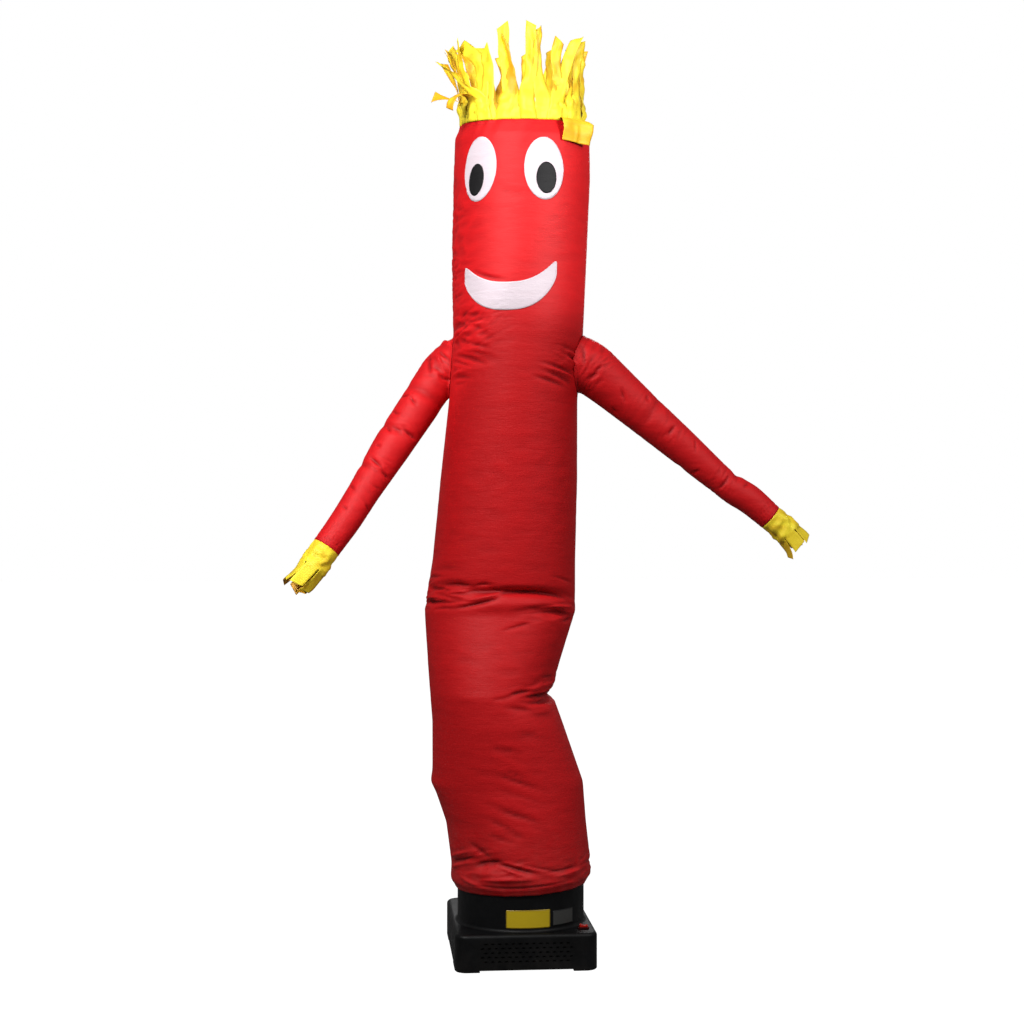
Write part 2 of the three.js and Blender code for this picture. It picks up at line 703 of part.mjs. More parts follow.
// The rocker rests with its right end down.
function rockerGeometry() {
  const { half, width, top, dip, side, keel } = ROCKER;
  const outline = new THREE.Shape([
    new THREE.Vector2(-half, side),
    new THREE.Vector2(0, keel),
    new THREE.Vector2(half, side),
    new THREE.Vector2(half, top),
    new THREE.Vector2(0, dip),
    new THREE.Vector2(-half, top),
  ]);
  const rocker = new THREE.ExtrudeGeometry(outline, { depth: width, bevelEnabled: false });
  rocker.translate(0, 0, -width / 2).rotateX(Math.PI / 2).rotateY(radians(SWITCH.tilt));
  return rocker.translate(SWITCH.x, SWITCH.y, BASE.height + SWITCH.pivot);
}

function glandGeometry() {
  const { radius, bore, length } = GLAND;
  const profile = [
    [0, 0],
    [radius, 0],
    [radius, length * 0.4],
    [radius * 0.72, length],
    [bore, length],
    [bore, length * 0.3],
    [0, length * 0.3],
  ].map(([r, y]) => new THREE.Vector2(r, y));
  return new THREE.LatheGeometry(profile, 20).translate(GLAND.x, BASE.back + GAP, GLAND.z);
}

// ---- Everything together ----

const bodyOutside = solidOf(solidFromRings(bodyRings(GAP)));
const arms = [
  { side: "left", arm: LEFT_ARM, hand: LEFT_HAND },
  { side: "right", arm: RIGHT_ARM, hand: RIGHT_HAND },
];

let body = solidOf(tubeFromRings(bodyRings(0), bodyRings(-CLOTH)));
const figure = new THREE.Group();
figure.rotation.z = radians(FIGURE_TURN);

for (const { side, arm, hand } of arms) {
  const outer = armRings(arm, 0);
  const inner = armRings(arm, -CLOTH);
  body = body.subtract(solidOf(solidFromRings(inner.slice(0, 6))));
  const sleeve = solidOf(tubeFromRings(outer, inner)).subtract(bodyOutside);
  figure.add(piece(`arm_${side}`, geometryFrom(sleeve), RED_NYLON));
  figure.add(piece(`hand_fringe_${side}`, handGeometry(arm, hand), YELLOW_NYLON));
}
figure.add(piece("body_tube", geometryFrom(body), RED_NYLON));
figure.add(piece("hair_fringe", hairGeometry(), YELLOW_NYLON));

for (const eye of EYES) {
  figure.add(piece(`eye_white_${eye.name}`, ovalGeometry(eye, FACE_LIFT), WHITE_NYLON));
}
for (const pupil of PUPILS) {
  const lift = FACE_LIFT + FACE_CLOTH + FACE_LIFT;
  figure.add(piece(`pupil_${pupil.name}`, ovalGeometry(pupil, lift), BLACK_NYLON));
}
figure.add(piece("smile", smileGeometry(), WHITE_NYLON));

const blower = new THREE.Group();
blower.add(piece("blower_base", baseGeometry(), BLACK_PLASTIC));
blower.add(piece("blower_collar", collarGeometry(), BLACK_PLASTIC));
blower.add(piece(LABELS[0].name, labelGeometry(LABELS[0]), YELLOW_FILM));
blower.add(piece(LABELS[1].name, labelGeometry(LABELS[1]), GREY_FILM));
blower.add(piece("switch_bezel", bezelGeometry(), BLACK_PLASTIC));
blower.add(piece("switch_rocker", rockerGeometry(), RED_PLASTIC));
blower.add(piece("cable_gland", glandGeometry(), BLACK_PLASTIC));

const dancer = new THREE.Group();
dancer.add(figure, blower);

export default dancer;
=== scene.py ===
"""An inflatable air dancer: a sewn nylon tube figure that stands on an electric blower.

Metres, +Z up. The tables that rows_of reads give their lengths in millimetres. The figure is turned a
little on its blower, so its shapes are worked out in a frame of its own, whose -Y is its front, and are
turned by to_row at the end. Angles round the tube are degrees from the front, 0, through the right, 90,
to the back, 180.
"""

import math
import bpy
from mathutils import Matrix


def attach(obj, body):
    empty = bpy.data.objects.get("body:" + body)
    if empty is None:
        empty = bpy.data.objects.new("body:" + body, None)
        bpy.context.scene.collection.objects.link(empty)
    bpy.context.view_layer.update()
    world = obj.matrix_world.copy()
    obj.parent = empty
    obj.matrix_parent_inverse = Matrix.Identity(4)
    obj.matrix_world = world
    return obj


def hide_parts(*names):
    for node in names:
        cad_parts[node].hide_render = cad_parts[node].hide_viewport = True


bl_info = {
    "name": "Inflatable Air Dancer",
    "version": (1, 0, 0),
    "blender": (4, 5, 0),
    "location": "View3D > Sidebar > Air Dancer",
    "description": "Sews an inflatable air dancer around its solids and sets up a studio for it",
    "category": "Add Mesh",
}

from collections import namedtuple

import bmesh
import bpy
import numpy as np
from mathutils import Vector, noise

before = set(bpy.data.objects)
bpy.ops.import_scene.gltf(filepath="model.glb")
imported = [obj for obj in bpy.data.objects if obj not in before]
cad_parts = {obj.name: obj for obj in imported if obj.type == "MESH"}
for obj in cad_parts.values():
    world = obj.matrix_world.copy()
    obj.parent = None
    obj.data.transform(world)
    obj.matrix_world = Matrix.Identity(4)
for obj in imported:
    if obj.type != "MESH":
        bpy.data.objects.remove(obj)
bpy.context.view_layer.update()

DANCER = "dancer"
ROCKER = "rocker"


# The columns of a table that are lengths. They are given in millimetres and kept in metres.
LENGTHS = set(
    "x y z to_z left right middle depth rise bow width height above below pitch radius length slant low"
    " high corner".split()
)


def rows_of(kind, *rows):
    """A table whose rows are all of one kind, with its lengths turned from millimetres into metres."""
    scales = [1000 if name in LENGTHS else None for name in kind._fields]
    return [kind(*(round(v / s, 6) if s else v for v, s in zip(row, scales))) for row in rows]


# ---- The figure's driving sizes ----

FIGURE_TURN = math.radians(-4.9)
GAP = 0.0003
HEM_Z = 0.235
HEM_TILT = 0.04
HEM_TILT_TO = 0.37
RIM_Z = 2.683
RIM_SLOPE = 0.095
RIM_SLOPE_FROM = 2.3
GIRTH = 0.226  # a middling radius of the tube, for distances round it
BEND = 0.012  # how far a bend in the outline is spread up and down

Section = namedtuple("Section", "z left right middle depth")
BODY_SECTIONS = rows_of(
    Section,
    (235, -209, 211, 0, 210),
    (262, -227, 228, 0, 228),
    (307, -225, 227, 0, 227),
    (437, -242, 212, -5, 226),
    (567, -286, 202, -11, 219),
    (763, -286, 134, -16, 235),
    (860, -294, 99, -10, 243),
    (958, -302, 128, 4, 236),
    (1117, -313, 178, 24, 218),
    (1153, -309, 178, 26, 219),
    (1283, -287, 178, 22, 227),
    (1543, -261, 184, 8, 230),
    (1803, -232, 184, -8, 233),
    (1907, -225, 192, -14, 233),
    (2015, -219, 202, -18, 233),
    (2258, -221, 213, -27, 231),
    (2519, -216, 224, -37, 229),
    (2640, -212, 222, -42, 224),
    (2683, -193, 202, -45, 204),
)

# The broad folds of the tube. rise is how much higher the right end is than the middle, bow how much
# higher the middle is than the ends, width half the height of the fold, and depth is outwards.
Fold = namedtuple("Fold", "z angle span rise bow width depth")
BODY_FOLDS = rows_of(
    Fold,
    (1138, 2, 98, 4, 52, 13, -17),
    (1106, 0, 80, 0, 42, 20, 7),
    (1200, -44, 34, 6, 6, 13, -10),
    (1172, -38, 40, 10, 4, 10, 8),
    (1118, 38, 34, -8, 14, 11, -12),
    (1132, 178, 84, -12, 36, 15, -15),
    (1088, 160, 50, 14, 16, 14, -9),
    (862, 92, 62, 0, -12, 13, -17),
    (888, 62, 34, 12, 4, 11, 8),
    (836, 60, 36, -6, 4, 11, -8),
    (876, 142, 40, -12, 6, 12, -10),
    (2012, -58, 32, 26, 0, 13, 9),
    (2040, -62, 32, 22, 0, 14, -11),
    (1926, -44, 34, -14, 0, 12, -7),
    (300, -14, 40, -12, 0, 13, 7),
    (328, -36, 36, 14, 0, 14, -9),
    (560, -92, 46, 0, 10, 26, 5),
)

# Creases placed one by one, each from a point to a point further right. bow is how far its middle lies
# above the straight line, above and below are its reach to each side, and peak is where along it the
# crease is deepest, from 0 to 1.
Crease = namedtuple("Crease", "angle z to_angle to_z bow above below depth peak")
BODY_CREASES = rows_of(
    Crease,
    # the waist
    (-4, 1181, 72, 1143, 22, 7, 20, -9, 0.42),
    (-46, 1146, 4, 1190, -4, 6, 7, 6, 0.8),
    (-46, 1128, 2, 1172, -5, 6, 9, -7.5, 0.6),
    (-28, 1190, 1, 1194, 20, 7, 12, -5.5, 0.55),
    (-13, 1214, 3, 1186, 5, 5, 6, 4, 0.6),
    (-52, 1208, -22, 1205, 3, 5, 6, -5, 0.6),
    (-78, 1190, -42, 1190, 2, 6, 7, -5.5, 0.5),
    (-54, 1180, -22, 1194, -2, 4, 6, 4.5, 0.6),
    (-98, 1141, -30, 1151, 4, 6, 9, -6, 0.5),
    (-80, 1160, -40, 1166, 3, 5, 6, 4, 0.5),
    (-62, 1125, -34, 1134, 3, 5, 6, -3.5, 0.5),
    (20, 1131, 74, 1131, 7, 4, 7, 5, 0.6),
    (10, 1114, 80, 1098, 14, 6, 14, -8, 0.6),
    (0, 1061, 26, 1090, 2, 4, 6, -3, 0.6),
    (52, 1083, 78, 1094, 2, 6, 6, -5, 0.7),
    (38, 1238, 72, 1210, 2, 5, 6, -2.8, 0.6),
    (-72, 1254, -26, 1264, 3, 7, 7, -2.2, 0.4),
    (-90, 1222, -50, 1232, 3, 6, 8, -3, 0.4),
    # the knee
    (13, 860, 42, 872, 8, 5, 9, -5.5, 0.55),
    (23, 852, 78, 851, 8, 5, 9, -7.5, 0.6),
    (30, 864, 70, 866, 4, 4, 6, 4, 0.6),
    (24, 846, 74, 846, -10, 6, 9, -5.5, 0.6),
    (38, 917, 72, 912, 2, 5, 7, -4.5, 0.75),
    (44, 902, 76, 897, 2, 5, 6, -4, 0.7),
    (0, 853, 22, 861, 1, 6, 8, -2.2, 0.5),
    (10, 828, 44, 809, 4, 10, 14, -3.5, 0.5),
    (30, 800, 66, 790, 3, 8, 12, -2.5, 0.6),
    # the leg
    (-8, 706, 20, 682, 2, 6, 8, -3.2, 0.45),
    (-14, 631, 27, 566, 2, 6, 8, -3.6, 0.5),
    (0, 634, 18, 602, 1, 5, 7, -3, 0.5),
    (-12, 512, 25, 462, 1, 6, 8, -3.4, 0.4),
    (-20, 476, 6, 424, 1, 6, 8, -3, 0.45),
    (-24, 428, 0, 404, 1, 6, 8, -3.4, 0.5),
    (-18, 440, 10, 418, 1, 5, 7, -2.6, 0.5),
    (2, 560, 30, 520, 1, 6, 9, -2.2, 0.5),
    (14, 748, 40, 734, 2, 7, 9, -2.2, 0.5),
    # the hem
    (-78, 330, -34, 374, 2, 6, 8, 4.5, 0.45),
    (-80, 296, -34, 340, 2, 6, 8, 5.5, 0.45),
    (-76, 313, -30, 356, 4, 6, 8, -5.5, 0.55),
    (-48, 408, -24, 350, 2, 12, 14, -6.5, 0.65),
    (-40, 330, -12, 344, 4, 10, 12, -7.5, 0.5),
    (-18, 330, 8, 292, 2, 4, 7, 5.5, 0.45),
    (-16, 346, 26, 304, 2, 4, 6, 4, 0.5),
    (-20, 338, 16, 300, 3, 5, 6, -5, 0.5),
    (-4, 334, 40, 300, 2, 5, 6, -3.2, 0.5),
    (-38, 284, 14, 288, 3, 7, 9, 5, 0.45),
    (-56, 270, 46, 272, -8, 4, 5, -4, 0.5),
    (-62, 290, -24, 256, -2, 5, 6, 4, 0.5),
    (18, 305, 58, 310, 3, 5, 6, -3, 0.5),
    (24, 288, 66, 300, 3, 5, 6, 3, 0.5),
    (60, 320, 104, 290, 2, 7, 8, -4, 0.5),
    # the left shoulder
    (-78, 1978, -36, 2036, -6, 4, 6, 7, 0.5),
    (-76, 1992, -38, 2048, -6, 5, 6, -6, 0.5),
    (-62, 2050, -26, 2036, -10, 5, 6, 4.5, 0.45),
    (-54, 2036, -22, 2052, -2, 5, 5, -4, 0.45),
    (-58, 1980, -20, 1948, 2, 5, 6, -4.2, 0.45),
    (-56, 1950, -18, 1926, 2, 5, 6, -3.6, 0.45),
    (-68, 1942, -24, 1900, 3, 5, 7, -5.5, 0.5),
    (-76, 1926, -38, 1892, 3, 5, 6, -5.5, 0.5),
    (-74, 1912, -34, 1884, 3, 4, 6, 4.5, 0.5),
    (-74, 1874, -42, 1886, 4, 5, 6, 4.5, 0.5),
    (-74, 1866, -38, 1862, 4, 5, 7, -4, 0.45),
    (-70, 1842, -46, 1846, 3, 5, 6, -2.5, 0.45),
    # the right shoulder
    (18, 1902, 66, 1862, 1, 4, 7, 6, 0.6),
    (18, 1912, 66, 1874, 2, 4, 6, -6, 0.65),
    (14, 1868, 54, 1832, 1, 5, 7, -4.5, 0.5),
    (22, 1888, 58, 1848, 1, 5, 6, -3.5, 0.5),
    (34, 1954, 74, 1914, 2, 4, 6, -4.5, 0.7),
    (30, 1968, 70, 1946, 2, 5, 6, -3.5, 0.7),
    (40, 1934, 72, 1900, 2, 4, 5, 3, 0.7),
    # the head
    (-24, 2452, 6, 2420, 3, 7, 8, -1.6, 0.5),
    (-42, 2198, -10, 2164, -6, 4, 7, -4, 0.45),
    (-82, 2192, -48, 2206, 2, 5, 6, -3, 0.6),
    (-80, 2066, -22, 2054, 4, 5, 7, -3.5, 0.5),
    (-66, 2052, -40, 2088, 1, 5, 6, -4, 0.4),
    (-54, 2044, -26, 2002, 1, 5, 6, -3.5, 0.45),
    (-78, 2362, -42, 2382, 3, 6, 7, -2.8, 0.35),
    (-82, 2316, -46, 2304, 2, 6, 7, -2.8, 0.35),
    (-80, 2418, -46, 2386, 1, 6, 7, -2.2, 0.35),
    (-84, 2262, -52, 2276, 2, 6, 7, -2.4, 0.35),
    (-80, 2118, -50, 2132, 2, 5, 7, -2.8, 0.4),
    (-86, 2506, -58, 2492, 2, 6, 7, -2, 0.35),
    # the back
    (112, 1152, 178, 1188, 10, 6, 12, -7, 0.5),
    (150, 1118, 236, 1150, 8, 6, 12, -6.5, 0.45),
    (196, 1186, 252, 1164, 6, 6, 10, -5.5, 0.6),
    (100, 1116, 150, 1092, 4, 5, 9, -5, 0.4),
    (214, 1132, 262, 1126, 4, 5, 8, -4.5, 0.55),
    (104, 866, 152, 884, 6, 5, 10, -6.5, 0.4),
    (98, 842, 140, 830, -4, 6, 10, -5.5, 0.4),
    (112, 902, 158, 914, 3, 5, 8, -3.5, 0.45),
    (150, 500, 206, 540, 3, 8, 10, -3, 0.5),
    (160, 420, 214, 452, 3, 7, 10, -3.5, 0.5),
    (140, 334, 200, 312, 4, 7, 10, -5, 0.5),
    (190, 316, 250, 340, 3, 7, 10, -4.5, 0.5),
    (102, 1944, 146, 1926, 3, 5, 8, -4.5, 0.35),
    (100, 1906, 140, 1874, 3, 5, 8, -4.5, 0.35),
    (214, 1920, 262, 1950, 2, 5, 8, -5, 0.65),
    (220, 1884, 262, 1902, 2, 5, 8, -4, 0.65),
    (150, 2050, 222, 2064, 4, 7, 10, -3, 0.5),
)

# Areas of fine crumples: how far they reach round and up, how deep they are, how far apart, how many
# times longer than that they run, and how much they climb to the right, in metres for each metre.
Crumple = namedtuple("Crumple", "angle z span height depth pitch stretch climb")
BODY_CRUMPLES = rows_of(
    Crumple,
    (-62, 1175, 52, 70, 6, 17, 4.0, 0.08),
    (52, 1120, 52, 60, 3.8, 18, 4.0, -0.15),
    (178, 1135, 90, 80, 6, 20, 4.0, 0.0),
    (76, 868, 52, 70, 6, 15, 3.5, 0.0),
    (148, 875, 50, 70, 4.5, 18, 3.5, 0.2),
    (-56, 1960, 36, 130, 3.2, 18, 3.0, -0.15),
    (62, 1915, 34, 90, 4, 14, 3.0, -0.35),
    (118, 1900, 34, 100, 4.5, 16, 3.0, -0.3),
    (-118, 1920, 34, 100, 4.5, 16, 3.0, 0.3),
    (-66, 2250, 34, 420, 3, 22, 3.0, 0.15),
    (-80, 2300, 20, 330, 6, 13, 1.6, 0.1),
    (-40, 2020, 40, 100, 4.5, 17, 3.0, 0.35),
    (8, 560, 46, 220, 2, 22, 4.0, -0.3),
    (176, 520, 60, 240, 3, 24, 4.0, 0.2),
    (-34, 330, 50, 70, 5, 20, 3.0, 0.2),
    (60, 300, 60, 60, 3.5, 18, 3.5, 0.0),
    (180, 310, 90, 80, 5, 20, 3.5, 0.0),
    (0, 1500, 181, 260, 1, 40, 2.0, 0.0),
    (0, 960, 181, 200, 0.8, 35, 2.0, 0.0),
    (0, 2400, 181, 300, 0.7, 35, 2.0, 0.0),
)

# Seams round the tube draw it into small upright puckers.
Pucker = namedtuple("Pucker", "z reach depth count")
BODY_PUCKERS = [Pucker(RIM_Z, 0.040, 0.0042, 46), Pucker(HEM_Z, 0.030, 0.0030, 40)]
BACK_SEAM = {"angle": 180, "reach": 0.008, "depth": 0.0025, "pucker": 0.0016, "pitch": 0.024}

# ---- The blower's driving sizes ----

COLLAR_RADIUS = 0.205
COLLAR_WALL = 0.005
COLLAR_TOP = 0.282
COLLAR_LIP = 0.008
BASE_WIDTH = 0.450
BASE_FRONT = -0.225
BASE_BACK = 0.335
BASE_HEIGHT = 0.118
BASE_CORNER = 0.038
BASE_EDGE = 0.013


# ---- Small helpers ----


def smooth(t):
    """Rises from 0 to 1 as t does, with soft ends."""
    c = np.clip(t, 0, 1)
    return c * c * (3 - 2 * c)


def turn_from(a, b):
    """How far a is from b round a circle, in degrees from -180 to 180."""
    return (a - b + 180) % 360 - 180


def to_row(points):
    """Points of the figure's own frame, turned into the frame of everything."""
    c, s = math.cos(FIGURE_TURN), math.sin(FIGURE_TURN)
    x, y, z = points[..., 0], points[..., 1], points[..., 2]
    return np.stack([x * c - y * s, x * s + y * c, z], axis=-1)


def noise_at(x, y, seed):
    """Smooth noise from about -1 to 1 at each point."""
    x, y = np.broadcast_arrays(x, y)
    flat = zip(x.ravel(), y.ravel())
    return np.array([noise.noise(Vector((a, b, seed))) for a, b in flat]).reshape(x.shape)


def rounded(at, key, values, blur):
    """Values of a table at heights, with its bends spread by blur."""
    offsets = np.linspace(-1, 1, 5)
    weights = 1.2 - np.abs(offsets)
    total = sum(w * np.interp(at + o * blur, key, values) for o, w in zip(offsets, weights))
    return total / weights.sum()


# ---- The tube's surface ----


def section_at(z):
    """The middle across, the half width, the middle from front to back and the half depth at heights."""
    key = [s.z for s in BODY_SECTIONS]
    left, right, middle, depth = (
        rounded(z, key, [getattr(s, name) for s in BODY_SECTIONS], BEND)
        for name in ("left", "right", "middle", "depth")
    )
    return (left + right) / 2, (right - left) / 2, middle, depth


def fold_relief(folds, angle, z):
    """How far the broad folds push the cloth outwards."""
    total = np.zeros_like(z)
    for f in folds:
        t = turn_from(angle, f.angle) / f.span
        line = f.z + f.rise * t + f.bow * (1 - t * t)
        off = (z - line) / f.width
        total += np.where(np.abs(t) < 1, f.depth * (1 - t * t) ** 2 * np.exp(-off * off), 0)
    return total


# A crease is this much deeper and narrower than its row says. A higher sharpness gives it a flatter bed,
# and with a higher taper its ends fade sooner.
CREASE_DEPTH, CREASE_REACH = 1.75, 0.85
CREASE_SHARPNESS, CREASE_TAPER = 1.25, 1.2


def crease_relief(creases, angle, z, girth):
    """How far the creases push the cloth outwards. girth is the radius that angles are laid out by."""
    total = np.zeros_like(z)
    for c in creases:
        run = math.radians(c.to_angle - c.angle) * girth
        rise = c.to_z - c.z
        length = math.hypot(run, rise)
        middle = (c.to_angle + c.angle) / 2
        s = np.radians(turn_from(angle, middle)) * girth + run / 2
        h = z - c.z
        t = np.clip((s * run + h * rise) / length**2, 0, 1)
        off = (h * run - s * rise) / length - c.bow * 4 * t * (1 - t)
        reach = np.where(off > 0, c.above, c.below) * CREASE_REACH
        ease = np.sin(np.pi * t ** (math.log(0.5) / math.log(c.peak))) ** CREASE_TAPER
        total += CREASE_DEPTH * c.depth * ease * np.exp(-((np.abs(off) / reach) ** CREASE_SHARPNESS))
    return total


CRUMPLE_LEVEL = 0.42  # keeps the ridges and the hollows of a crumple about level with its cloth


def crumple_relief(crumples, angle, z, girth):
    """How far the fine crumples push the cloth outwards."""
    total = np.zeros_like(z)
    for i, c in enumerate(crumples):
        u = turn_from(angle, c.angle) / c.span
        v = (z - c.z) / c.height
        near = (np.abs(u) < 1) & (np.abs(v) < 1)
        if not near.any():
            continue
        s = np.radians(turn_from(angle, c.angle)[near]) * girth
        across = (z[near] - c.climb * s) / c.pitch
        ridged = CRUMPLE_LEVEL - np.abs(noise_at(s / (c.pitch * c.stretch), across, 3.7 * i + 1)) * 2
        mask = (1 - u[near] ** 2) ** 1.5 * (1 - v[near] ** 2) ** 1.5
        total[near] += c.depth * mask * ridged
    return total


def pucker_relief(angle, z):
    """How far the seams round the tube and up its back push the cloth outwards."""
    total = np.zeros_like(z)
    for i, p in enumerate(BODY_PUCKERS):
        away = np.abs(z - p.z)
        near = away < 3 * p.reach
        turn = np.radians(angle[near])
        ring = p.count / (2 * math.pi)
        wave = noise_at(ring * np.sin(turn) + away[near] * 12, ring * np.cos(turn), 40 + i)
        total[near] += p.depth * 1.6 * wave * np.exp(-away[near] / p.reach)
    back = np.radians(turn_from(angle, BACK_SEAM["angle"])) * GIRTH
    near = np.abs(back) < 5 * BACK_SEAM["reach"]
    pull = np.exp(-((back[near] / BACK_SEAM["reach"]) ** 2))
    wave = noise_at(z[near] / BACK_SEAM["pitch"], back[near] / 0.05, 60)
    wide = np.exp(-((back[near] / (2.5 * BACK_SEAM["reach"])) ** 2))
    total[near] += BACK_SEAM["pucker"] * wave * wide - BACK_SEAM["depth"] * pull
    return total


COLLAR_PLAY = 0.0032  # between the collar and the cloth's outside
LIP_BELOW, LIP_SLOPE = 0.036, 0.008  # where the cloth starts to widen for the lip, and over what height
FREE_ABOVE = 0.006  # how far over the collar the cloth may come in again


def collar_room(z, half):
    """How far in the cloth may come where it goes round the blower's collar."""
    lip = smooth((z - (COLLAR_TOP - LIP_BELOW)) / LIP_SLOPE)
    radius = COLLAR_RADIUS + lip * COLLAR_LIP + COLLAR_PLAY
    return np.where(z < COLLAR_TOP + FREE_ABOVE, half - radius, 1.0)


def body_relief(angle, z):
    """How far the tube's cloth stands out from its plain section, with room for the collar."""
    angle, z = np.broadcast_arrays(np.asarray(angle, float), np.asarray(z, float))
    total = fold_relief(BODY_FOLDS, angle, z) + crease_relief(BODY_CREASES, angle, z, GIRTH)
    total += crumple_relief(BODY_CRUMPLES, angle, z, GIRTH) + pucker_relief(angle, z)
    _, half, _, depth = section_at(z)
    return np.maximum(total, -collar_room(z, np.minimum(half, depth)))


def body_surface(angle, z, lift=0.0):
    """Points of the tube at angles and heights, lifted off it, in the figure's own frame."""
    angle, z = np.broadcast_arrays(np.asarray(angle, float), np.asarray(z, float))
    centre, half, middle, depth = section_at(z)
    out = lift + body_relief(angle, z)
    x = centre + (half + out) * np.sin(np.radians(angle))
    away = -(depth + out) * np.cos(np.radians(angle))
    sloped = smooth((z - RIM_SLOPE_FROM) / (RIM_Z - RIM_SLOPE_FROM))
    tilted = smooth((HEM_TILT_TO - z) / (HEM_TILT_TO - HEM_Z))
    height = z + RIM_SLOPE * sloped * away + HEM_TILT * tilted * (x - centre)
    return np.stack([x, middle + away, height], axis=-1)


def outside_tube(points):
    """How far points of the figure's own frame are outside the tube, away from its rim and hem."""
    centre, half, middle, depth = section_at(points[..., 2])
    across = (points[..., 0] - centre) / half
    away = (points[..., 1] - middle) / depth
    angle = np.degrees(np.arctan2(across, -away))
    return (np.hypot(across, away) - 1) * half - body_relief(angle, points[..., 2])


# ---- The arms ----

ArmSection = namedtuple("ArmSection", "x y z radius")
LEFT_ARM = rows_of(
    ArmSection,
    (-150, 34, 1934, 86),
    (-212, 40, 1921, 83),
    (-250, 36, 1898, 73),
    (-282, 24, 1860, 67),
    (-338, 3, 1772, 65),
    (-418, -26, 1648, 62),
    (-503, -64, 1507, 51),
    (-561, -94, 1411, 49),
    (-620, -122, 1325, 46),
)
RIGHT_ARM = rows_of(
    ArmSection,
    (118, -30, 1924, 92),
    (190, -32, 1918, 89),
    (232, -27, 1898, 84),
    (277, -20, 1863, 78),
    (389, -6, 1768, 67),
    (525, 8, 1653, 57),
    (651, 18, 1545, 46),
    (700, 22, 1509, 48),
    (746, 26, 1481, 48),
    (816, 30, 1422, 43),
)

# A sleeve's own creases and crumples lie like the tube's, with distances from the inner end of the arm's
# middle line in place of heights. at is the place of a fold as a share of that line. Angle 0 is the
# front, and 90 the left arm's upper side or the right arm's underside.
ArmFold = namedtuple("ArmFold", "at angle span width depth")
LEFT_ARM_FOLDS = rows_of(
    ArmFold,
    (0.27, 0, 120, 17, -8),
    (0.46, 40, 90, 13, -6),
    (0.64, 60, 90, 12, -5),
)
RIGHT_ARM_FOLDS = rows_of(
    ArmFold,
    (0.4, -20, 90, 16, -5),
    (0.62, 150, 100, 15, -5),
    (0.8, -90, 80, 14, -6),
)
LEFT_ARM_CREASES = rows_of(
    Crease,
    (20, 160, 88, 104, -4, 6, 7, -6, 0.4),
    (-44, 120, 2, 150, 8, 6, 8, -6.5, 0.5),
    (44, 56, 88, 76, 0, 6, 6, 6, 0.5),
    (8, 75, 50, 95, 2, 5, 5, -4.5, 0.5),
    (10, 116, 60, 88, 3, 5, 6, 4.5, 0.5),
    (36, 247, 90, 260, 3, 5, 6, -4.5, 0.55),
    (0, 270, 40, 249, 2, 5, 6, -4, 0.5),
    (30, 322, 86, 314, 2, 5, 7, -4, 0.45),
    (18, 388, 56, 374, 2, 4, 6, -3.5, 0.5),
    (-10, 361, 24, 369, 1, 4, 6, -3, 0.5),
    (-66, 357, 8, 355, 3, 5, 8, -6, 0.5),
    (24, 442, 50, 445, 1, 4, 5, -3, 0.5),
    (-20, 502, 52, 487, 2, 5, 7, -5.5, 0.5),
    (-72, 518, -6, 508, 2, 5, 7, -5.5, 0.5),
    (26, 609, 76, 596, 1, 4, 6, -3.5, 0.5),
    (8, 678, 48, 672, 1, 4, 5, -3, 0.5),
    (-60, 560, -14, 566, 1, 4, 5, -2.5, 0.5),
    (-80, 640, -30, 628, 1, 4, 5, -2.8, 0.5),
    (120, 330, 210, 342, 4, 6, 8, -4.5, 0.5),
    (140, 480, 220, 470, 3, 5, 8, -4, 0.5),
    (110, 590, 190, 604, 3, 5, 7, -3.5, 0.5),
)
RIGHT_ARM_CREASES = rows_of(
    Crease,
    (-40, 62, 8, 82, 3, 6, 7, -5.5, 0.5),
    (-32, 74, 0, 93, -3, 4, 5, 4, 0.5),
    (-20, 128, 30, 112, 3, 5, 6, -3.5, 0.5),
    (-6, 218, 16, 266, 1, 4, 6, -3.5, 0.5),
    (-44, 297, -30, 326, 1, 5, 6, -3, 0.5),
    (50, 238, 62, 274, 1, 4, 5, -3, 0.5),
    (-36, 438, 16, 433, 2, 4, 6, -4, 0.5),
    (-50, 516, -8, 545, 1, 4, 5, -2.5, 0.5),
    (-50, 679, 56, 678, 3, 4, 6, -4.5, 0.5),
    (20, 592, 70, 580, 2, 4, 5, -2.8, 0.5),
    (-70, 752, -20, 742, 1, 4, 5, -2.8, 0.5),
    (110, 300, 190, 316, 3, 6, 8, -4, 0.5),
    (130, 470, 215, 456, 3, 5, 7, -3.5, 0.5),
    (120, 700, 200, 712, 2, 5, 7, -3.5, 0.5),
)
LEFT_ARM_CRUMPLES = rows_of(
    Crumple,
    (0, 120, 181, 75, 3.4, 14, 2.5, 0.3),
    (20, 350, 110, 60, 2, 13, 3.0, 0.1),
    (0, 500, 120, 50, 1.8, 12, 3.0, -0.1),
    (0, 620, 181, 200, 0.9, 16, 3.0, 0.0),
    (0, 790, 181, 40, 2.2, 10, 0.5, 0.0),
)
RIGHT_ARM_CRUMPLES = rows_of(
    Crumple,
    (0, 110, 181, 70, 3.4, 14, 2.5, -0.3),
    (0, 360, 181, 200, 0.9, 18, 3.0, 0.0),
    (-10, 440, 110, 50, 1.8, 12, 3.0, 0.1),
    (0, 680, 181, 70, 2, 12, 3.0, 0.1),
    (0, 850, 181, 40, 2.2, 10, 0.5, 0.0),
)

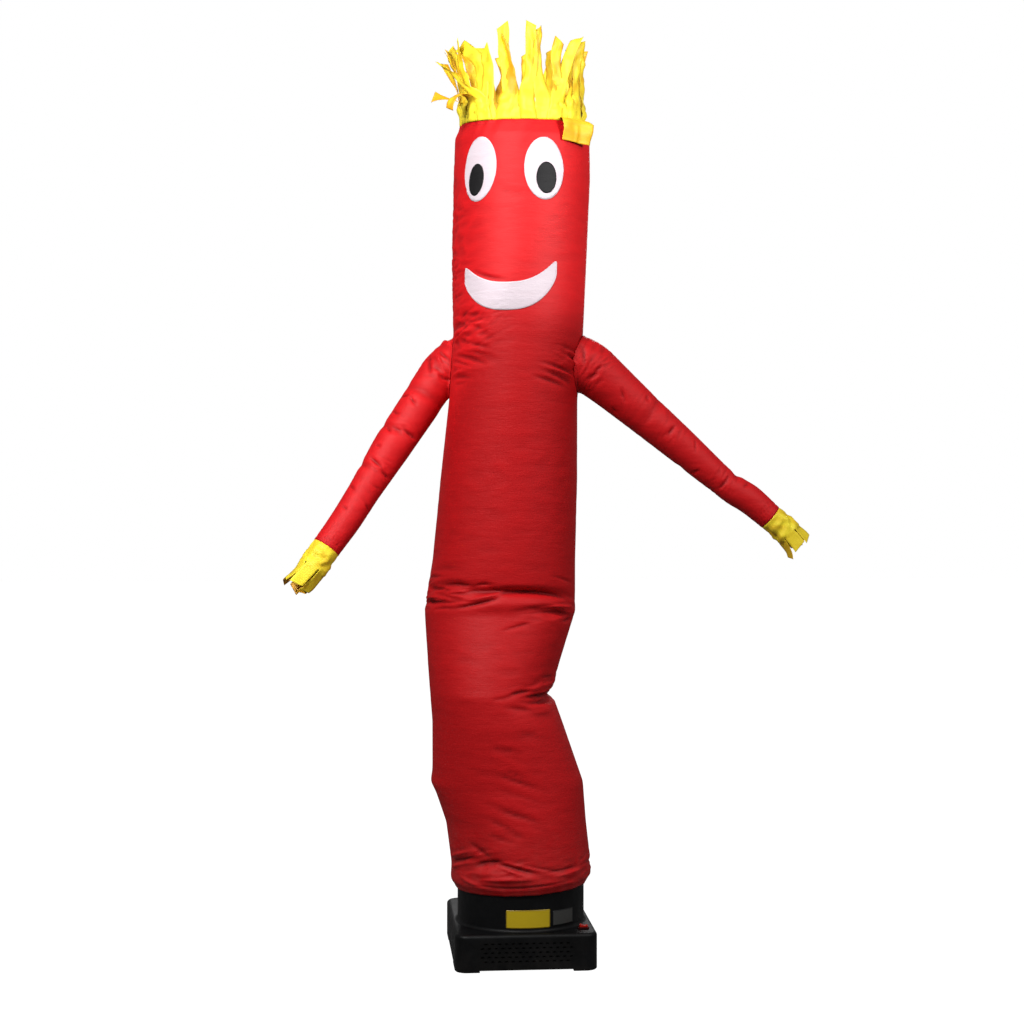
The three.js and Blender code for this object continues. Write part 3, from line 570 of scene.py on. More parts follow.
Arm = namedtuple("Arm", "side knots folds creases crumples")
ARMS = [
    Arm("left", LEFT_ARM, LEFT_ARM_FOLDS, LEFT_ARM_CREASES, LEFT_ARM_CRUMPLES),
    Arm("right", RIGHT_ARM, RIGHT_ARM_FOLDS, RIGHT_ARM_CREASES, RIGHT_ARM_CRUMPLES),
]
ARM_GIRTH = 0.058  # a middling radius of the arms, for distances round them
ARM_KNOT_STEPS = 40
ARM_AHEAD = 0.012  # how far to each side an arm's direction and radius are averaged
SEAM_ROLL = 0.0035  # how far the rolled edge of a seam stands up

ArmLine = namedtuple("ArmLine", "distance places radius")


def arm_line(arm):
    """The middle line of an arm: a centripetal Catmull-Rom curve through its knots."""
    knots = np.array([k[:3] for k in arm.knots])
    knots = np.vstack([2 * knots[0] - knots[1], knots, 2 * knots[-1] - knots[-2]])
    gaps = np.linalg.norm(np.diff(knots, axis=0), axis=1) ** 0.5
    places, radius = [knots[1]], [arm.knots[0].radius]
    for i in range(1, len(knots) - 2):
        a, b, c, d = knots[i - 1 : i + 3]
        before, here, after = gaps[i - 1 : i + 2]
        leave = ((b - a) / before - (c - a) / (before + here) + (c - b) / here) * here
        arrive = ((c - b) / here - (d - b) / (here + after) + (d - c) / after) * here
        for step in range(1, ARM_KNOT_STEPS + 1):
            t = step / ARM_KNOT_STEPS
            cube = 2 * b - 2 * c + leave + arrive
            square = 3 * c - 3 * b - 2 * leave - arrive
            places.append(b + leave * t + square * t * t + cube * t**3)
            radius.append(arm.knots[i - 1].radius * (1 - t) + arm.knots[i].radius * t)
    places = np.array(places)
    distance = np.concatenate([[0], np.cumsum(np.linalg.norm(np.diff(places, axis=0), axis=1))])
    return ArmLine(distance, places, np.array(radius))


def arm_frame(along):
    """The front and the side of an arm that runs along a direction."""
    front = np.broadcast_to([0.0, -1.0, 0.0], along.shape)
    front = front - along * (front * along).sum(-1, keepdims=True)
    front = front / np.linalg.norm(front, axis=-1, keepdims=True)
    return front, np.cross(along, front)


def arm_at(line, distance):
    """The place, the direction and the radius of an arm at distances along it."""
    at = [np.interp(distance, line.distance, line.places[:, i]) for i in range(3)]
    tangents = np.gradient(line.places, line.distance, axis=0)
    along = sum(
        np.stack([np.interp(distance + o, line.distance, tangents[:, i]) for i in range(3)], -1)
        for o in (-ARM_AHEAD, 0, ARM_AHEAD)
    )
    along /= np.linalg.norm(along, axis=-1, keepdims=True)
    nearby = [np.interp(distance + o, line.distance, line.radius) for o in (-ARM_AHEAD, 0, ARM_AHEAD)]
    return np.stack(at, -1), along, sum(nearby) / len(nearby)


def arm_relief(arm, length, angle, distance):
    """How far a sleeve's cloth stands out from its plain section."""
    folds = [Fold(f.at * length, f.angle, f.span, 0, 0, f.width, f.depth) for f in arm.folds]
    total = fold_relief(folds, angle, distance)
    total += crease_relief(arm.creases, angle, distance, ARM_GIRTH)
    return total + crumple_relief(arm.crumples, angle, distance, ARM_GIRTH)


def arm_surface(arm, line, angle, distance, lift):
    """Points of a sleeve at angles round it and distances along it, in the figure's own frame."""
    angle, distance = np.broadcast_arrays(np.asarray(angle, float), np.asarray(distance, float))
    place, along, radius = arm_at(line, distance)
    front, side = arm_frame(along)
    out = radius + lift + arm_relief(arm, line.distance[-1], angle, distance)
    turn = np.radians(angle)[..., None]
    return place + out[..., None] * (front * np.cos(turn) + side * np.sin(turn))


SHOULDER_REACH = 0.32  # no column of a sleeve comes out of the tube further along the arm
HALVINGS = 9  # of the last step, to place where it comes out


def sleeve_starts(arm, line, angles):
    """How far along the arm each column of its sleeve comes out of the tube."""
    tries = np.linspace(0.0, SHOULDER_REACH, 60)
    grid_angle, grid_distance = np.meshgrid(angles, tries)
    inside = outside_tube(arm_surface(arm, line, grid_angle, grid_distance, SEAM_ROLL)) < GAP
    last = len(tries) - 1 - np.argmax(inside[::-1], axis=0)
    low, high = tries[last], tries[np.minimum(last + 1, len(tries) - 1)]
    for _ in range(HALVINGS):
        middle = (low + high) / 2
        within = outside_tube(arm_surface(arm, line, angles, middle, SEAM_ROLL)) < GAP
        low, high = np.where(within, middle, low), np.where(within, high, middle)
    return high


def arm_clearance(line, points):
    """How far points are from the side of an arm, outwards. It holds near the arm's inner end."""
    step = 6
    places = line.places[::step]
    away = np.linalg.norm(points[..., None, :] - places, axis=-1)
    nearest = away.argmin(-1)
    return away.min(-1) - line.radius[::step][nearest]


# ---- Meshes ----

CLOTH_MAP = "cloth"
# the attribute holds painted shade in creases and on shaded strips, and tone that differs at random
TONE_AND_SHADE = "tone"


def place_object(name, data):
    """An object in the scene, at the origin."""
    thing = bpy.data.objects.new(name, data)
    bpy.context.scene.collection.objects.link(thing)
    return thing


def make_piece(name, points, faces, material=None, edges=()):
    """An object with a mesh of its own."""
    mesh = bpy.data.meshes.new(name)
    mesh.from_pydata(points, edges, faces)
    if material:
        mesh.materials.append(material)
    return place_object(name, mesh)


def rework(mesh, *steps):
    """Runs steps of mesh editing on a mesh, one after another."""
    work = bmesh.new()
    work.from_mesh(mesh)
    for step in steps:
        step(work)
    work.to_mesh(mesh)
    work.free()


def merge_doubles(mesh, distance=1e-6):
    rework(mesh, lambda work: bmesh.ops.remove_doubles(work, verts=work.verts, dist=distance))


def point_outwards(mesh):
    """Takes out faces without an area, and turns the others outwards."""
    rework(
        mesh,
        lambda work: bmesh.ops.dissolve_degenerate(work, edges=work.edges, dist=1e-7),
        lambda work: bmesh.ops.recalc_face_normals(work, faces=work.faces),
    )


def smooth_by_angle(thing, degrees):
    thing.data.shade_smooth()
    thing.data.set_sharp_from_angle(angle=math.radians(degrees))


def thicken(thing, thickness):
    """Gives cloth its thickness, inwards."""
    wall = thing.modifiers.new("thickness", "SOLIDIFY")
    wall.thickness = thickness
    wall.offset = -1
    return thing


def flat_places(width, height):
    """Places on the flat cloth, from distances across it and up it."""
    return np.stack(np.broadcast_arrays(width, height), axis=-1)


def cell_corners(grid, column, following):
    """What a grid holds at the four corners of each cell, in order round the cell."""
    low, high = grid[:-1], grid[1:]
    return [low[:, column], low[:, following], high[:, following], high[:, column]]


class Pattern:
    """Grids of cloth that become one mesh, each with its places on the flat cloth and its tone, which
    holds painted shade and tone that differs at random.
    """

    def __init__(self):
        self.points, self.faces, self.places, self.tones = [], [], [], []
        self.count = 0

    def add(self, points, places, closed=False, keep=None, tone=0.5):
        """Adds rows of points. A closed grid joins its last column to its first, and has one more
        column of places. keep says which faces stay."""
        rows, columns = points.shape[:2]
        index = self.count + np.arange(rows * columns).reshape(rows, columns)
        column = np.arange(columns if closed else columns - 1)
        faces = np.stack(cell_corners(index, column, (column + 1) % columns), axis=-1)
        corners = np.stack(cell_corners(places, column, column + 1), axis=-2)
        if keep is None:
            keep = np.ones(faces.shape[:2], bool)
        self.points.append(points.reshape(-1, 3))
        self.tones.append(np.broadcast_to(tone, (rows, columns)).reshape(-1))
        self.faces.append(faces[keep])
        self.places.append(corners[keep])
        self.count += rows * columns

    def build(self, name, material):
        """Makes one object of the grids, turned into the frame of everything."""
        points, tones = np.concatenate(self.points), np.concatenate(self.tones)
        faces, places = np.concatenate(self.faces), np.concatenate(self.places)
        used, faces = np.unique(faces, return_inverse=True)
        quads = faces.reshape(-1, 4).tolist()
        piece = make_piece(name, to_row(points[used]).tolist(), quads, material)
        piece.data.uv_layers.new(name=CLOTH_MAP).data.foreach_set("uv", places.ravel())
        tone = piece.data.attributes.new(TONE_AND_SHADE, "FLOAT", "POINT")
        tone.data.foreach_set("value", tones[used])
        piece.data.shade_smooth()
        return piece


# ---- The tube ----

# Up to each height, how far apart the tube's rows are: less where the cloth is creased.
TUBE_ROWS = [
    (0.262, 0.0045),
    (0.4, 0.0035),
    (0.72, 0.0085),
    (0.8, 0.011),
    (0.94, 0.004),
    (1.05, 0.009),
    (1.25, 0.0033),
    (1.8, 0.0125),
    (2.25, 0.0047),
    (2.42, 0.0085),
    (2.64, 0.0125),
    (RIM_Z, 0.005),
]
FRONT_HALF = 105  # degrees to each side of the front that have the closer columns
FRONT_COLUMNS = 96
BACK_COLUMNS = 30
CLOTH = 0.0008
# LEVEL_TONE is the painted tone of level cloth; hollows are painted darker than it, as shade
LEVEL_TONE = 0.86
HOLLOW_DEPTH = 0.0085  # how deep a hollow is that takes 1 off its tone: painted shade in the creases
ARMHOLE_ROUNDS = 2
ARMHOLE_PULL = 0.012  # how far one round may draw the edge of an armhole
ARMHOLE_SLOPE = 0.2  # the least slope that a round reckons with, squared


def tube_heights():
    heights = [HEM_Z]
    for top, step in TUBE_ROWS:
        steps = round((top - heights[-1]) / step)
        heights.extend(np.linspace(heights[-1], top, steps + 1)[1:])
    return np.array(heights)


def tube_angles():
    front = np.linspace(-FRONT_HALF, FRONT_HALF, FRONT_COLUMNS, endpoint=False)
    return np.concatenate([front, np.linspace(FRONT_HALF, 360 - FRONT_HALF, BACK_COLUMNS, endpoint=False)])


def armhole_slope(line, angle, z):
    """The clearance to an arm at places on the tube, and its slopes round the tube and up it."""
    nudge_angle, nudge_z = 0.2, 0.0008
    here = arm_clearance(line, body_surface(angle, z))
    right = arm_clearance(line, body_surface(angle + nudge_angle, z))
    up = arm_clearance(line, body_surface(angle, z + nudge_z))
    return here, (right - here) / (math.radians(nudge_angle) * GIRTH), (up - here) / nudge_z


def cut_armholes(angle, z, points):
    """Faces of the tube that stay, with the edges of the armholes drawn to the arms."""
    keep = np.ones((len(z) - 1, z.shape[1]), bool)
    for arm in ARMS:
        line = arm_line(arm)
        clear = arm_clearance(line, points)
        within = clear < 0
        within |= np.roll(within, -1, axis=1)
        hole = within[:-1] | within[1:]
        keep &= ~hole
        around = hole | np.roll(hole, 1, axis=1)
        corners = np.zeros_like(clear, bool)
        corners[:-1] |= around
        corners[1:] |= around
        edge = corners & (clear >= 0)
        for _ in range(ARMHOLE_ROUNDS):
            here, by_angle, by_z = armhole_slope(line, angle[edge], z[edge])
            share = np.minimum(here / np.maximum(by_angle**2 + by_z**2, ARMHOLE_SLOPE), ARMHOLE_PULL)
            angle[edge] -= np.degrees(by_angle * share / GIRTH)
            z[edge] -= by_z * share
        points[edge] = body_surface(angle[edge], z[edge])
    return keep


def painted_crease_shade(relief):
    """Painted shade in the creases, as a tone from 0 to 1: the further the cloth lies below the rows over
    and under it, the darker it is painted."""
    around = sum(np.roll(relief, step, axis=0) for step in (-4, -3, -2, 2, 3, 4)) / 6
    hollow = around - relief
    hollow[:4], hollow[-4:] = 0, 0
    return np.clip(LEVEL_TONE - hollow / HOLLOW_DEPTH, 0, 1)


def sew_tube(material):
    """The tube's cloth, with its armholes."""
    angle, z = (a.copy() for a in np.meshgrid(tube_angles(), tube_heights()))
    points = body_surface(angle, z)
    around = np.concatenate([tube_angles(), [360 - FRONT_HALF]])
    places = flat_places(np.radians(around)[None, :] * GIRTH, tube_heights()[:, None])
    keep = cut_armholes(angle, z, points)
    tube = Pattern()
    # the tone paints shade into the tube's creases
    tube.add(points, places, closed=True, keep=keep, tone=painted_crease_shade(body_relief(angle, z)))
    return thicken(tube.build("tube_cloth", material), CLOTH)


# ---- The sleeves ----

SLEEVE_COLUMNS = 84
SLEEVE_STEP = 0.0038
SLEEVE_CROWDING = 1.08  # over 1, the rows lie closer at the shoulder
# The roll at a sleeve's root: distances from where it leaves the tube, and shares of the roll's height.
SLEEVE_ROLL = [(0.0, 0.2), (0.0012, 0.85), (0.0028, 1.0), (0.0045, 0.75), (0.0065, 0.35), (0.0095, 0.1)]


def sew_sleeve(arm, material):
    """A sleeve's cloth, from its rolled root on the tube to the wrist."""
    line = arm_line(arm)
    angles = np.linspace(-180, 180, SLEEVE_COLUMNS, endpoint=False) + 180 / SLEEVE_COLUMNS
    starts = sleeve_starts(arm, line, angles)
    length = line.distance[-1]
    rows = round((length - starts.min()) / SLEEVE_STEP)
    roll = np.array(SLEEVE_ROLL)
    steps = np.linspace(0, 1, rows) ** SLEEVE_CROWDING
    after = 0.003
    plain = (starts + roll[-1, 0] + after) + (length - starts - roll[-1, 0] - after) * steps[:, None]
    distance = np.vstack([starts + roll[:, :1], plain])
    lift = np.vstack([np.repeat(roll[:, 1:] * SEAM_ROLL, len(angles), 1), np.zeros_like(plain)])
    angle = np.broadcast_to(angles, distance.shape)
    around = np.linspace(0, 2 * math.pi * ARM_GIRTH, len(angles) + 1)
    run = np.concatenate([distance, distance[:, :1]], axis=1)
    sleeve = Pattern()
    places = flat_places(around[None, :], run)
    relief = arm_relief(arm, length, angle, distance)
    # the tone paints shade into the sleeve's creases
    sleeve.add(arm_surface(arm, line, angle, distance, lift), places, closed=True, tone=painted_crease_shade(relief))
    return thicken(sleeve.build(f"sleeve_{arm.side}", material), CLOTH)


# ---- Fringes ----

# side leans a strip round its band, lean leans it outwards, and curl and sway are how much more it has
# leant at its tip. twist turns it about its own middle. wide and tip are its widths a third of the way
# up and at its tip, as shares of its root's. slant is how far one corner of its tip stands above the
# tip's middle, and tone is how light its cloth is, from 0 to 1: tone that differs from strip to strip,
# and painted shade on strips that lie in shade.
Strip = namedtuple("Strip", "angle length lean curl side sway twist wide tip slant tone")
HAIR_RADIUS = 0.198
HAIR_BAND = 0.062
HAIR_STRIPS = rows_of(
    Strip,
    (-174, 205, -6, 20, 8, 12, 30, 0.9, 0.8, 5, 0.5),
    (-162, 190, 2, 26, -6, -14, -40, 0.8, 0.7, -6, 0.4),
    (-150, 220, -4, 14, 4, 10, 20, 0.85, 0.8, 4, 0.6),
    (-138, 200, 4, 30, -4, -8, -30, 0.8, 0.7, 5, 0.5),
    (-126, 215, -2, 20, 6, 14, 46, 0.85, 0.75, -5, 0.4),
    (-114, 196, 4, 34, 0, -10, -24, 0.8, 0.7, 6, 0.6),
    (-102, 204, 0, 26, 8, 12, 34, 0.8, 0.7, -5, 0.5),
    (-90, 150, 6, 30, 4, -6, 40, 0.8, 0.7, 6, 0.4),
    (-78, 104, 64, 34, 6, -4, 78, 0.14, 0.66, 10, 0.1),
    (-66, 176, 10, 18, -8, 10, 44, 0.75, 0.7, 8, 0.6),
    (-54, 196, 4, 12, -20, 26, 30, 0.9, 1.0, 16, 0.85),
    (-42, 232, -4, 6, 10, -78, -20, 0.82, 0.8, -10, 0.75),
    (-30, 160, 0, 10, 12, -26, 16, 0.82, 0.8, 14, 0.9),
    (-18, 214, -2, 10, 18, -50, 50, 0.66, 0.6, 10, 0.15),
    (-6, 232, 0, 8, -14, 16, -46, 0.74, 0.75, 14, 0.9),
    (6, 238, -2, 8, 10, -14, 30, 0.74, 0.6, -10, 0.85),
    (18, 224, -4, 8, -16, 24, -30, 0.74, 0.6, 14, 0.65),
    (30, 214, -2, 10, 10, 20, 50, 0.66, 0.6, 14, 0.85),
    (42, 190, -4, 12, -12, 18, 30, 0.66, 0.6, -10, 0.5),
    (54, 158, -2, 10, 14, -22, -40, 0.61, 0.6, 10, 0.35),
    (66, 190, 2, 10, -14, 20, 40, 0.57, 0.65, 10, 0.75),
    (78, 196, -4, 4, 6, -20, 34, 0.66, 0.75, -10, 0.7),
    (90, 180, -4, -4, -2, -10, -20, 0.8, 0.75, 5, 0.5),
    (102, 206, -4, 10, 2, 14, 30, 0.85, 0.75, 5, 0.6),
    (114, 196, 0, 16, -4, -8, -36, 0.8, 0.7, -5, 0.5),
    (126, 222, -6, 18, 6, 12, 24, 0.85, 0.8, 6, 0.6),
    (138, 194, 2, 30, -6, -12, -30, 0.8, 0.7, -5, 0.4),
    (150, 216, -4, 16, 4, 8, 36, 0.85, 0.75, 5, 0.5),
    (162, 202, 4, 28, 0, -14, -22, 0.8, 0.7, 5, 0.6),
    (174, 212, -8, 22, -4, 10, 28, 0.9, 0.8, -5, 0.5),
)
# These are sewn on over the ring of strips: one hangs in a curl and one leans far to the left.
LOOSE_STRIPS = rows_of(
    Strip,
    (-52, 120, 40, 150, -10, 6, 14, 0.7, 0.5, 6, 0.35),
    (-36, 196, 12, 22, -46, 4, 50, 0.42, 0.34, 4, 0.8),
)
LOOSE_LAYER = 0.0065
# A flap has folded over the rim: its left and right corners at its fold and at its foot, and the angles
# of its root's ends.
FLAP_TOP = [(0.131, -0.238, 2.664), (0.228, -0.168, 2.660)]
FLAP_FOOT = [(0.133, -0.240, 2.603), (0.219, -0.172, 2.596)]
FLAP_ROOT = (36, 68)
FLAP_WAVE, FLAP_GROOVE = 0.010, 0.004  # how high its waves stand, and how deep the groove down its middle is
FLAP_ARCH = 0.007  # how far it rises between its root and its fold
HAND_CUFF = 0.078
# droop is how far a cuff bends down on its way to its strips, in degrees.
Hand = namedtuple("Hand", "droop strips")
HANDS = {
    "left": Hand(
        0,
        rows_of(
            Strip,
            (0, 78, 0, 6, 6, 4, 10, 1.0, 0.95, 8, 0.9),
            (60, 84, 4, 10, 0, -4, -14, 1.0, 0.95, -10, 0.8),
            (120, 88, 6, 18, 0, 8, 12, 0.95, 0.9, 8, 0.3),
            (180, 86, -2, 8, -4, -6, -12, 0.95, 0.9, 6, 0.15),
            (240, 86, -8, -8, 0, -4, 16, 0.95, 0.95, -6, 0.2),
            (300, 80, -8, -6, 0, 4, -10, 1.0, 0.95, 8, 0.8),
        ),
    ),
    "right": Hand(
        10,
        rows_of(
            Strip,
            (0, 54, -2, 4, 2, 6, 8, 1.1, 1.1, 6, 0.8),
            (60, 66, 6, 22, 2, 4, -10, 0.95, 0.8, -6, 0.5),
            (120, 66, 4, 24, 2, -4, 12, 0.85, 0.7, 8, 0.3),
            (180, 60, 0, 6, 0, -6, -10, 1.0, 0.9, 6, 0.3),
            (240, 56, 0, -2, 0, -2, 8, 1.05, 1.05, -6, 0.5),
            (300, 56, 0, 0, 2, 2, -8, 1.12, 1.15, 6, 0.75),
        ),
    ),
}
STRIP_GAP = 0.004
STRIP_CELLS = 6  # cells across a strip
STRIP_STEPS = 26
FRINGE_CLOTH = 0.0006
FULL_STRIP = 0.2  # a shorter strip has lower waves
# The waves of a strip: the length of one along it, how many go across it, and how high they stand.
Wave = namedtuple("Wave", "along across height")
RIPPLE = Wave(0.030, 1.8, 0.006)
CRIMP = Wave(0.011, 0.8, 0.0022)
LONG_FOLD = Wave(0.055, 0, 0.016)
SWEEP = Wave(0.09, 0, 0.008)


def unit(vectors):
    return vectors / np.linalg.norm(vectors, axis=1, keepdims=True)


def strip_path(up, outwards, around, strip):
    """Where a strip heads at each of its rows, and its width's direction and its face's there."""
    share = np.linspace(0, 1, STRIP_STEPS + 1)
    lean = np.radians(strip.lean + strip.curl * share)
    side = np.radians(strip.side + strip.sway * share)
    along = (
        np.outer(np.cos(lean) * np.cos(side), up)
        + np.outer(np.sin(lean) * np.cos(side), outwards)
        + np.outer(np.sin(side), around)
    )
    face = unit(np.cross(around, along))
    across = unit(np.cross(along, face))
    twist = np.radians(strip.twist * share)[:, None]
    wide = across * np.cos(twist) + face * np.sin(twist)
    return along, wide, unit(np.cross(wide, along))


def strip_waves(run, u, grown, size, seed):
    """How far a strip's ripples, its crimps and its long fold lift it off its path."""
    ripple = noise_at(run[:, None] / RIPPLE.along, u * RIPPLE.across, seed)
    crimp = noise_at(run[:, None] / CRIMP.along + u * 1.5, u * CRIMP.across, seed + 20)
    fold = noise_at(run / LONG_FOLD.along, 0.0, seed + 50)[:, None] * (0.5 - np.abs(u) * 2)
    waves = ripple * RIPPLE.height * size + crimp * CRIMP.height * size**3
    return grown * (waves + fold * LONG_FOLD.height * size)


def strip_surface(root_row, up, outwards, around, width, strip, seed):
    """Rows of points of a strip that grows from a row of points."""
    share = np.linspace(0, 1, STRIP_STEPS + 1)
    along, wide, normal = strip_path(up, outwards, around, strip)
    steps = along[:-1] * strip.length / STRIP_STEPS
    root = (root_row[0] + root_row[-1]) / 2
    place = root + np.vstack([np.zeros(3), np.cumsum(steps, axis=0)])
    u = np.linspace(-0.5, 0.5, STRIP_CELLS + 1)
    run = share * strip.length
    grown = smooth(share * 3)[:, None]
    stand = strip_waves(run, u, grown, min(1, strip.length / FULL_STRIP), seed)
    slanted = strip.slant * u * smooth((share[:, None] - 0.5) / 0.5) * 2
    sweep = noise_at(run / SWEEP.along, 0.0, seed + 90)[:, None] * grown * SWEEP.height
    widths = np.interp(share, [0, 0.35, 0.8, 1], [1, strip.wide, (strip.wide + strip.tip) / 2, strip.tip])
    points = (
        place[:, None, :]
        + wide[:, None, :] * (u * width * widths[:, None] + sweep)[..., None]
        + normal[:, None, :] * stand[..., None]
        + along[:, None, :] * slanted[..., None]
    )
    blend = smooth(share * 6)[:, None, None]
    straight = root_row + along[:, None, :] * run[:, None, None]
    return points * blend + straight * (1 - blend)


def band_turns(strips, width, radius):
    """The angles of a band's columns: those of each strip, side by side, with a gap between strips."""
    half = math.degrees(width / radius / 2)
    return np.concatenate([np.linspace(s.angle - half, s.angle + half, STRIP_CELLS + 1) for s in strips])


HAIR_OVERLAP = 1.30  # the roots of the strips overlap their neighbours
HAIR_ROOT_ROWS = 10
HAIR_ASLANT = 18  # how far aslant a root may lie, in degrees round the rim
HAIR_LAYERS = (0.0006, 0.0028)  # how far out the roots lie, by turns
HAIR_PLEAT, PLEAT_SPREAD, HAIR_PINCH = 0.004, 0.008, 0.012  # how high a root's pleat and pinches stand
INNER_BAND_IN = 0.0045  # how far inside the rim the band behind the roots lies
INNER_BAND_SHARE = 0.85  # its height as a share of the hair's band


def hair_root(strip, order, width, layer):
    """Rows of points of a strip's root, which stands pleated on the rim of the head."""
    half = math.degrees(width / HAIR_RADIUS / 2)
    u, up = np.linspace(-1, 1, STRIP_CELLS + 1), np.linspace(0, 1, HAIR_ROOT_ROWS)[:, None]
    aslant = HAIR_ASLANT * noise.noise(Vector((order * 2.9, 1.1, 4.2)))
    turns = strip.angle + half * u + aslant * up
    pleat = HAIR_PLEAT + PLEAT_SPREAD * noise.noise(Vector((order * 1.7, 3.3, 8.1)))
    pinch = noise_at(u * 1.1, up * 2.4 + order * 5.3, 11.0)
    stand = layer + (pleat * (1 - u * u) + HAIR_PINCH * pinch) * np.sin(up * 1.9)
    flat = np.zeros_like(turns)
    outwards = np.stack([np.sin(np.radians(turns)), -np.cos(np.radians(turns)), flat], -1)
    points = body_surface(turns, RIM_Z, -0.002) + outwards * stand[..., None]
    points[..., 2] += GAP + up * HAIR_BAND
    return points


def hair_flap():
    """Rows of points of the flap: out of the rim, over its fold and down to its foot."""
    columns, rows = 20, 16
    u = np.linspace(0, 1, columns)[:, None]
    turns = FLAP_ROOT[0] + (FLAP_ROOT[1] - FLAP_ROOT[0]) * u[:, 0]
    root = body_surface(turns, RIM_Z, -0.001) + [0, 0, 0.006]
    top, foot = (np.array(e[0]) + (np.array(e[1]) - np.array(e[0])) * u for e in (FLAP_TOP, FLAP_FOOT))
    down = np.linspace(0, 1, rows)[:, None, None]
    hanging = top + (foot - top) * down
    front = np.cross(foot[-1] - foot[0], top[0] - foot[0])
    front /= -np.linalg.norm(front)
    share, drop = u[:, 0][None, :], down[:, :, 0]
    wave = FLAP_WAVE * noise_at(share * 2.6, drop * 1.5, 71.0)
    groove = -FLAP_GROOVE * np.exp(-(((share - 0.5) / 0.05) ** 2)) * smooth(drop * 3)
    hanging = hanging + front * (wave + groove)[..., None]
    over = np.linspace(0, 1, 6)[:-1, None, None]
    lifted = root + (hanging[0] - root) * over + np.array([0, 0, FLAP_ARCH]) * np.sin(math.pi * over)
    return np.vstack([lifted, hanging])[:, ::-1]


def add_inner_band(hair):
    """Adds the band that closes the ring of roots from within."""
    columns, rows = 180, 8
    turns = np.linspace(-180, 180, columns, endpoint=False)
    up = np.linspace(0, 1, rows)[:, None]
    band = np.repeat(body_surface(turns, RIM_Z, -INNER_BAND_IN)[None], rows, axis=0)
    band[..., 2] += GAP + up * HAIR_BAND * INNER_BAND_SHARE
    around = np.append(turns, 180)
    places = flat_places(np.radians(around)[None, :] * HAIR_RADIUS, up * HAIR_BAND)
    hair.add(band, places, closed=True, tone=0.2)


def cut_hair(material):
    """The hair's cloth: pleated roots on the rim, their strips and the flap."""
    width = 2 * math.pi * HAIR_RADIUS / len(HAIR_STRIPS)
    wide = width * HAIR_OVERLAP
    hair = Pattern()
    add_inner_band(hair)
    up_axis = np.array([0.0, 0.0, 1.0])
    for order, strip in enumerate(HAIR_STRIPS + LOOSE_STRIPS):
        layer = LOOSE_LAYER if strip in LOOSE_STRIPS else HAIR_LAYERS[order % 2]
        turn = math.radians(strip.angle)
        outwards = np.array([math.sin(turn), -math.cos(turn), 0.0])
        root = hair_root(strip, order, wide, layer)
        sides = np.array([-outwards[1], outwards[0], 0.0])
        loose = strip_surface(root[-1], up_axis, outwards, sides, wide, strip, 7.0 + 3.1 * order)
        points = np.vstack([root[:-1], loose])
        in_band = np.linspace(-HAIR_BAND, 0, HAIR_ROOT_ROWS)[:-1]
        run = np.concatenate([in_band, np.linspace(0, strip.length, len(loose))])
        across = order * width + np.linspace(0, wide, STRIP_CELLS + 1)
        u = np.linspace(-1, 1, STRIP_CELLS + 1)[None, :]
        shade = np.interp(run, [-HAIR_BAND, -0.01, 0.05], [0.95, 0.85, strip.tone])[:, None]
        mottle = noise_at(run[:, None] / 0.034, u * 1.1, 31.0 + order * 2.3)
        free = smooth((run + HAIR_BAND) / 0.09)[:, None]
        shade = np.clip(shade + free * (0.6 * mottle - 0.16 * u**4), 0, 1)
        hair.add(points, flat_places(across[None, :], run[:, None]), tone=shade)
    flap = hair_flap()
    across, down = np.linspace(0, 0.11, flap.shape[1]), np.linspace(0, 0.09, flap.shape[0])
    hair.add(flap, flat_places(across[None, :], down[:, None]), tone=0.35)
    return thicken(hair.build("hair_ribbons", material), FRINGE_CLOTH)


CUFF_GATHER, CUFF_CRUMPLE = 0.0055, 0.008  # how high a cuff's pleats and its crumples stand
CUFF_ROWS = 14


def cuff_rows(arm, hand, width):
    """Rows of points of a cuff, its columns' angles, and three directions at its last row: along it, to
    its front and to its side."""
    radius = arm.knots[-1].radius
    wrist, before = (np.array(arm.knots[i][:3]) for i in (-1, -2))
    start = (wrist - before) / np.linalg.norm(wrist - before)
    share = np.linspace(0, 1, CUFF_ROWS)
    along = unit(start - np.outer(share * math.tan(math.radians(hand.droop)), [0, 0, 1]))
    steps = along[:-1] * HAND_CUFF / (CUFF_ROWS - 1)
    place = wrist + start * GAP + np.vstack([np.zeros(3), np.cumsum(steps, axis=0)])
    front, side = arm_frame(along)
    turn = np.radians(band_turns(hand.strips, width, radius))
    gather = noise_at(np.sin(turn) * 3.5, np.cos(turn) * 3.5, 8.0 + radius * 100)
    crumple = noise_at(share[:, None] * 4, turn * 1.5, 9.0)
    out = radius + CUFF_GATHER * gather * smooth(share * 4)[:, None]
    out = out + CUFF_CRUMPLE * crumple * smooth(share * 2)[:, None]
    facing = front[:, None, :] * np.cos(turn)[:, None] + side[:, None, :] * np.sin(turn)[:, None]
    return place[:, None, :] + facing * out[..., None], turn, (along[-1], front[-1], side[-1])


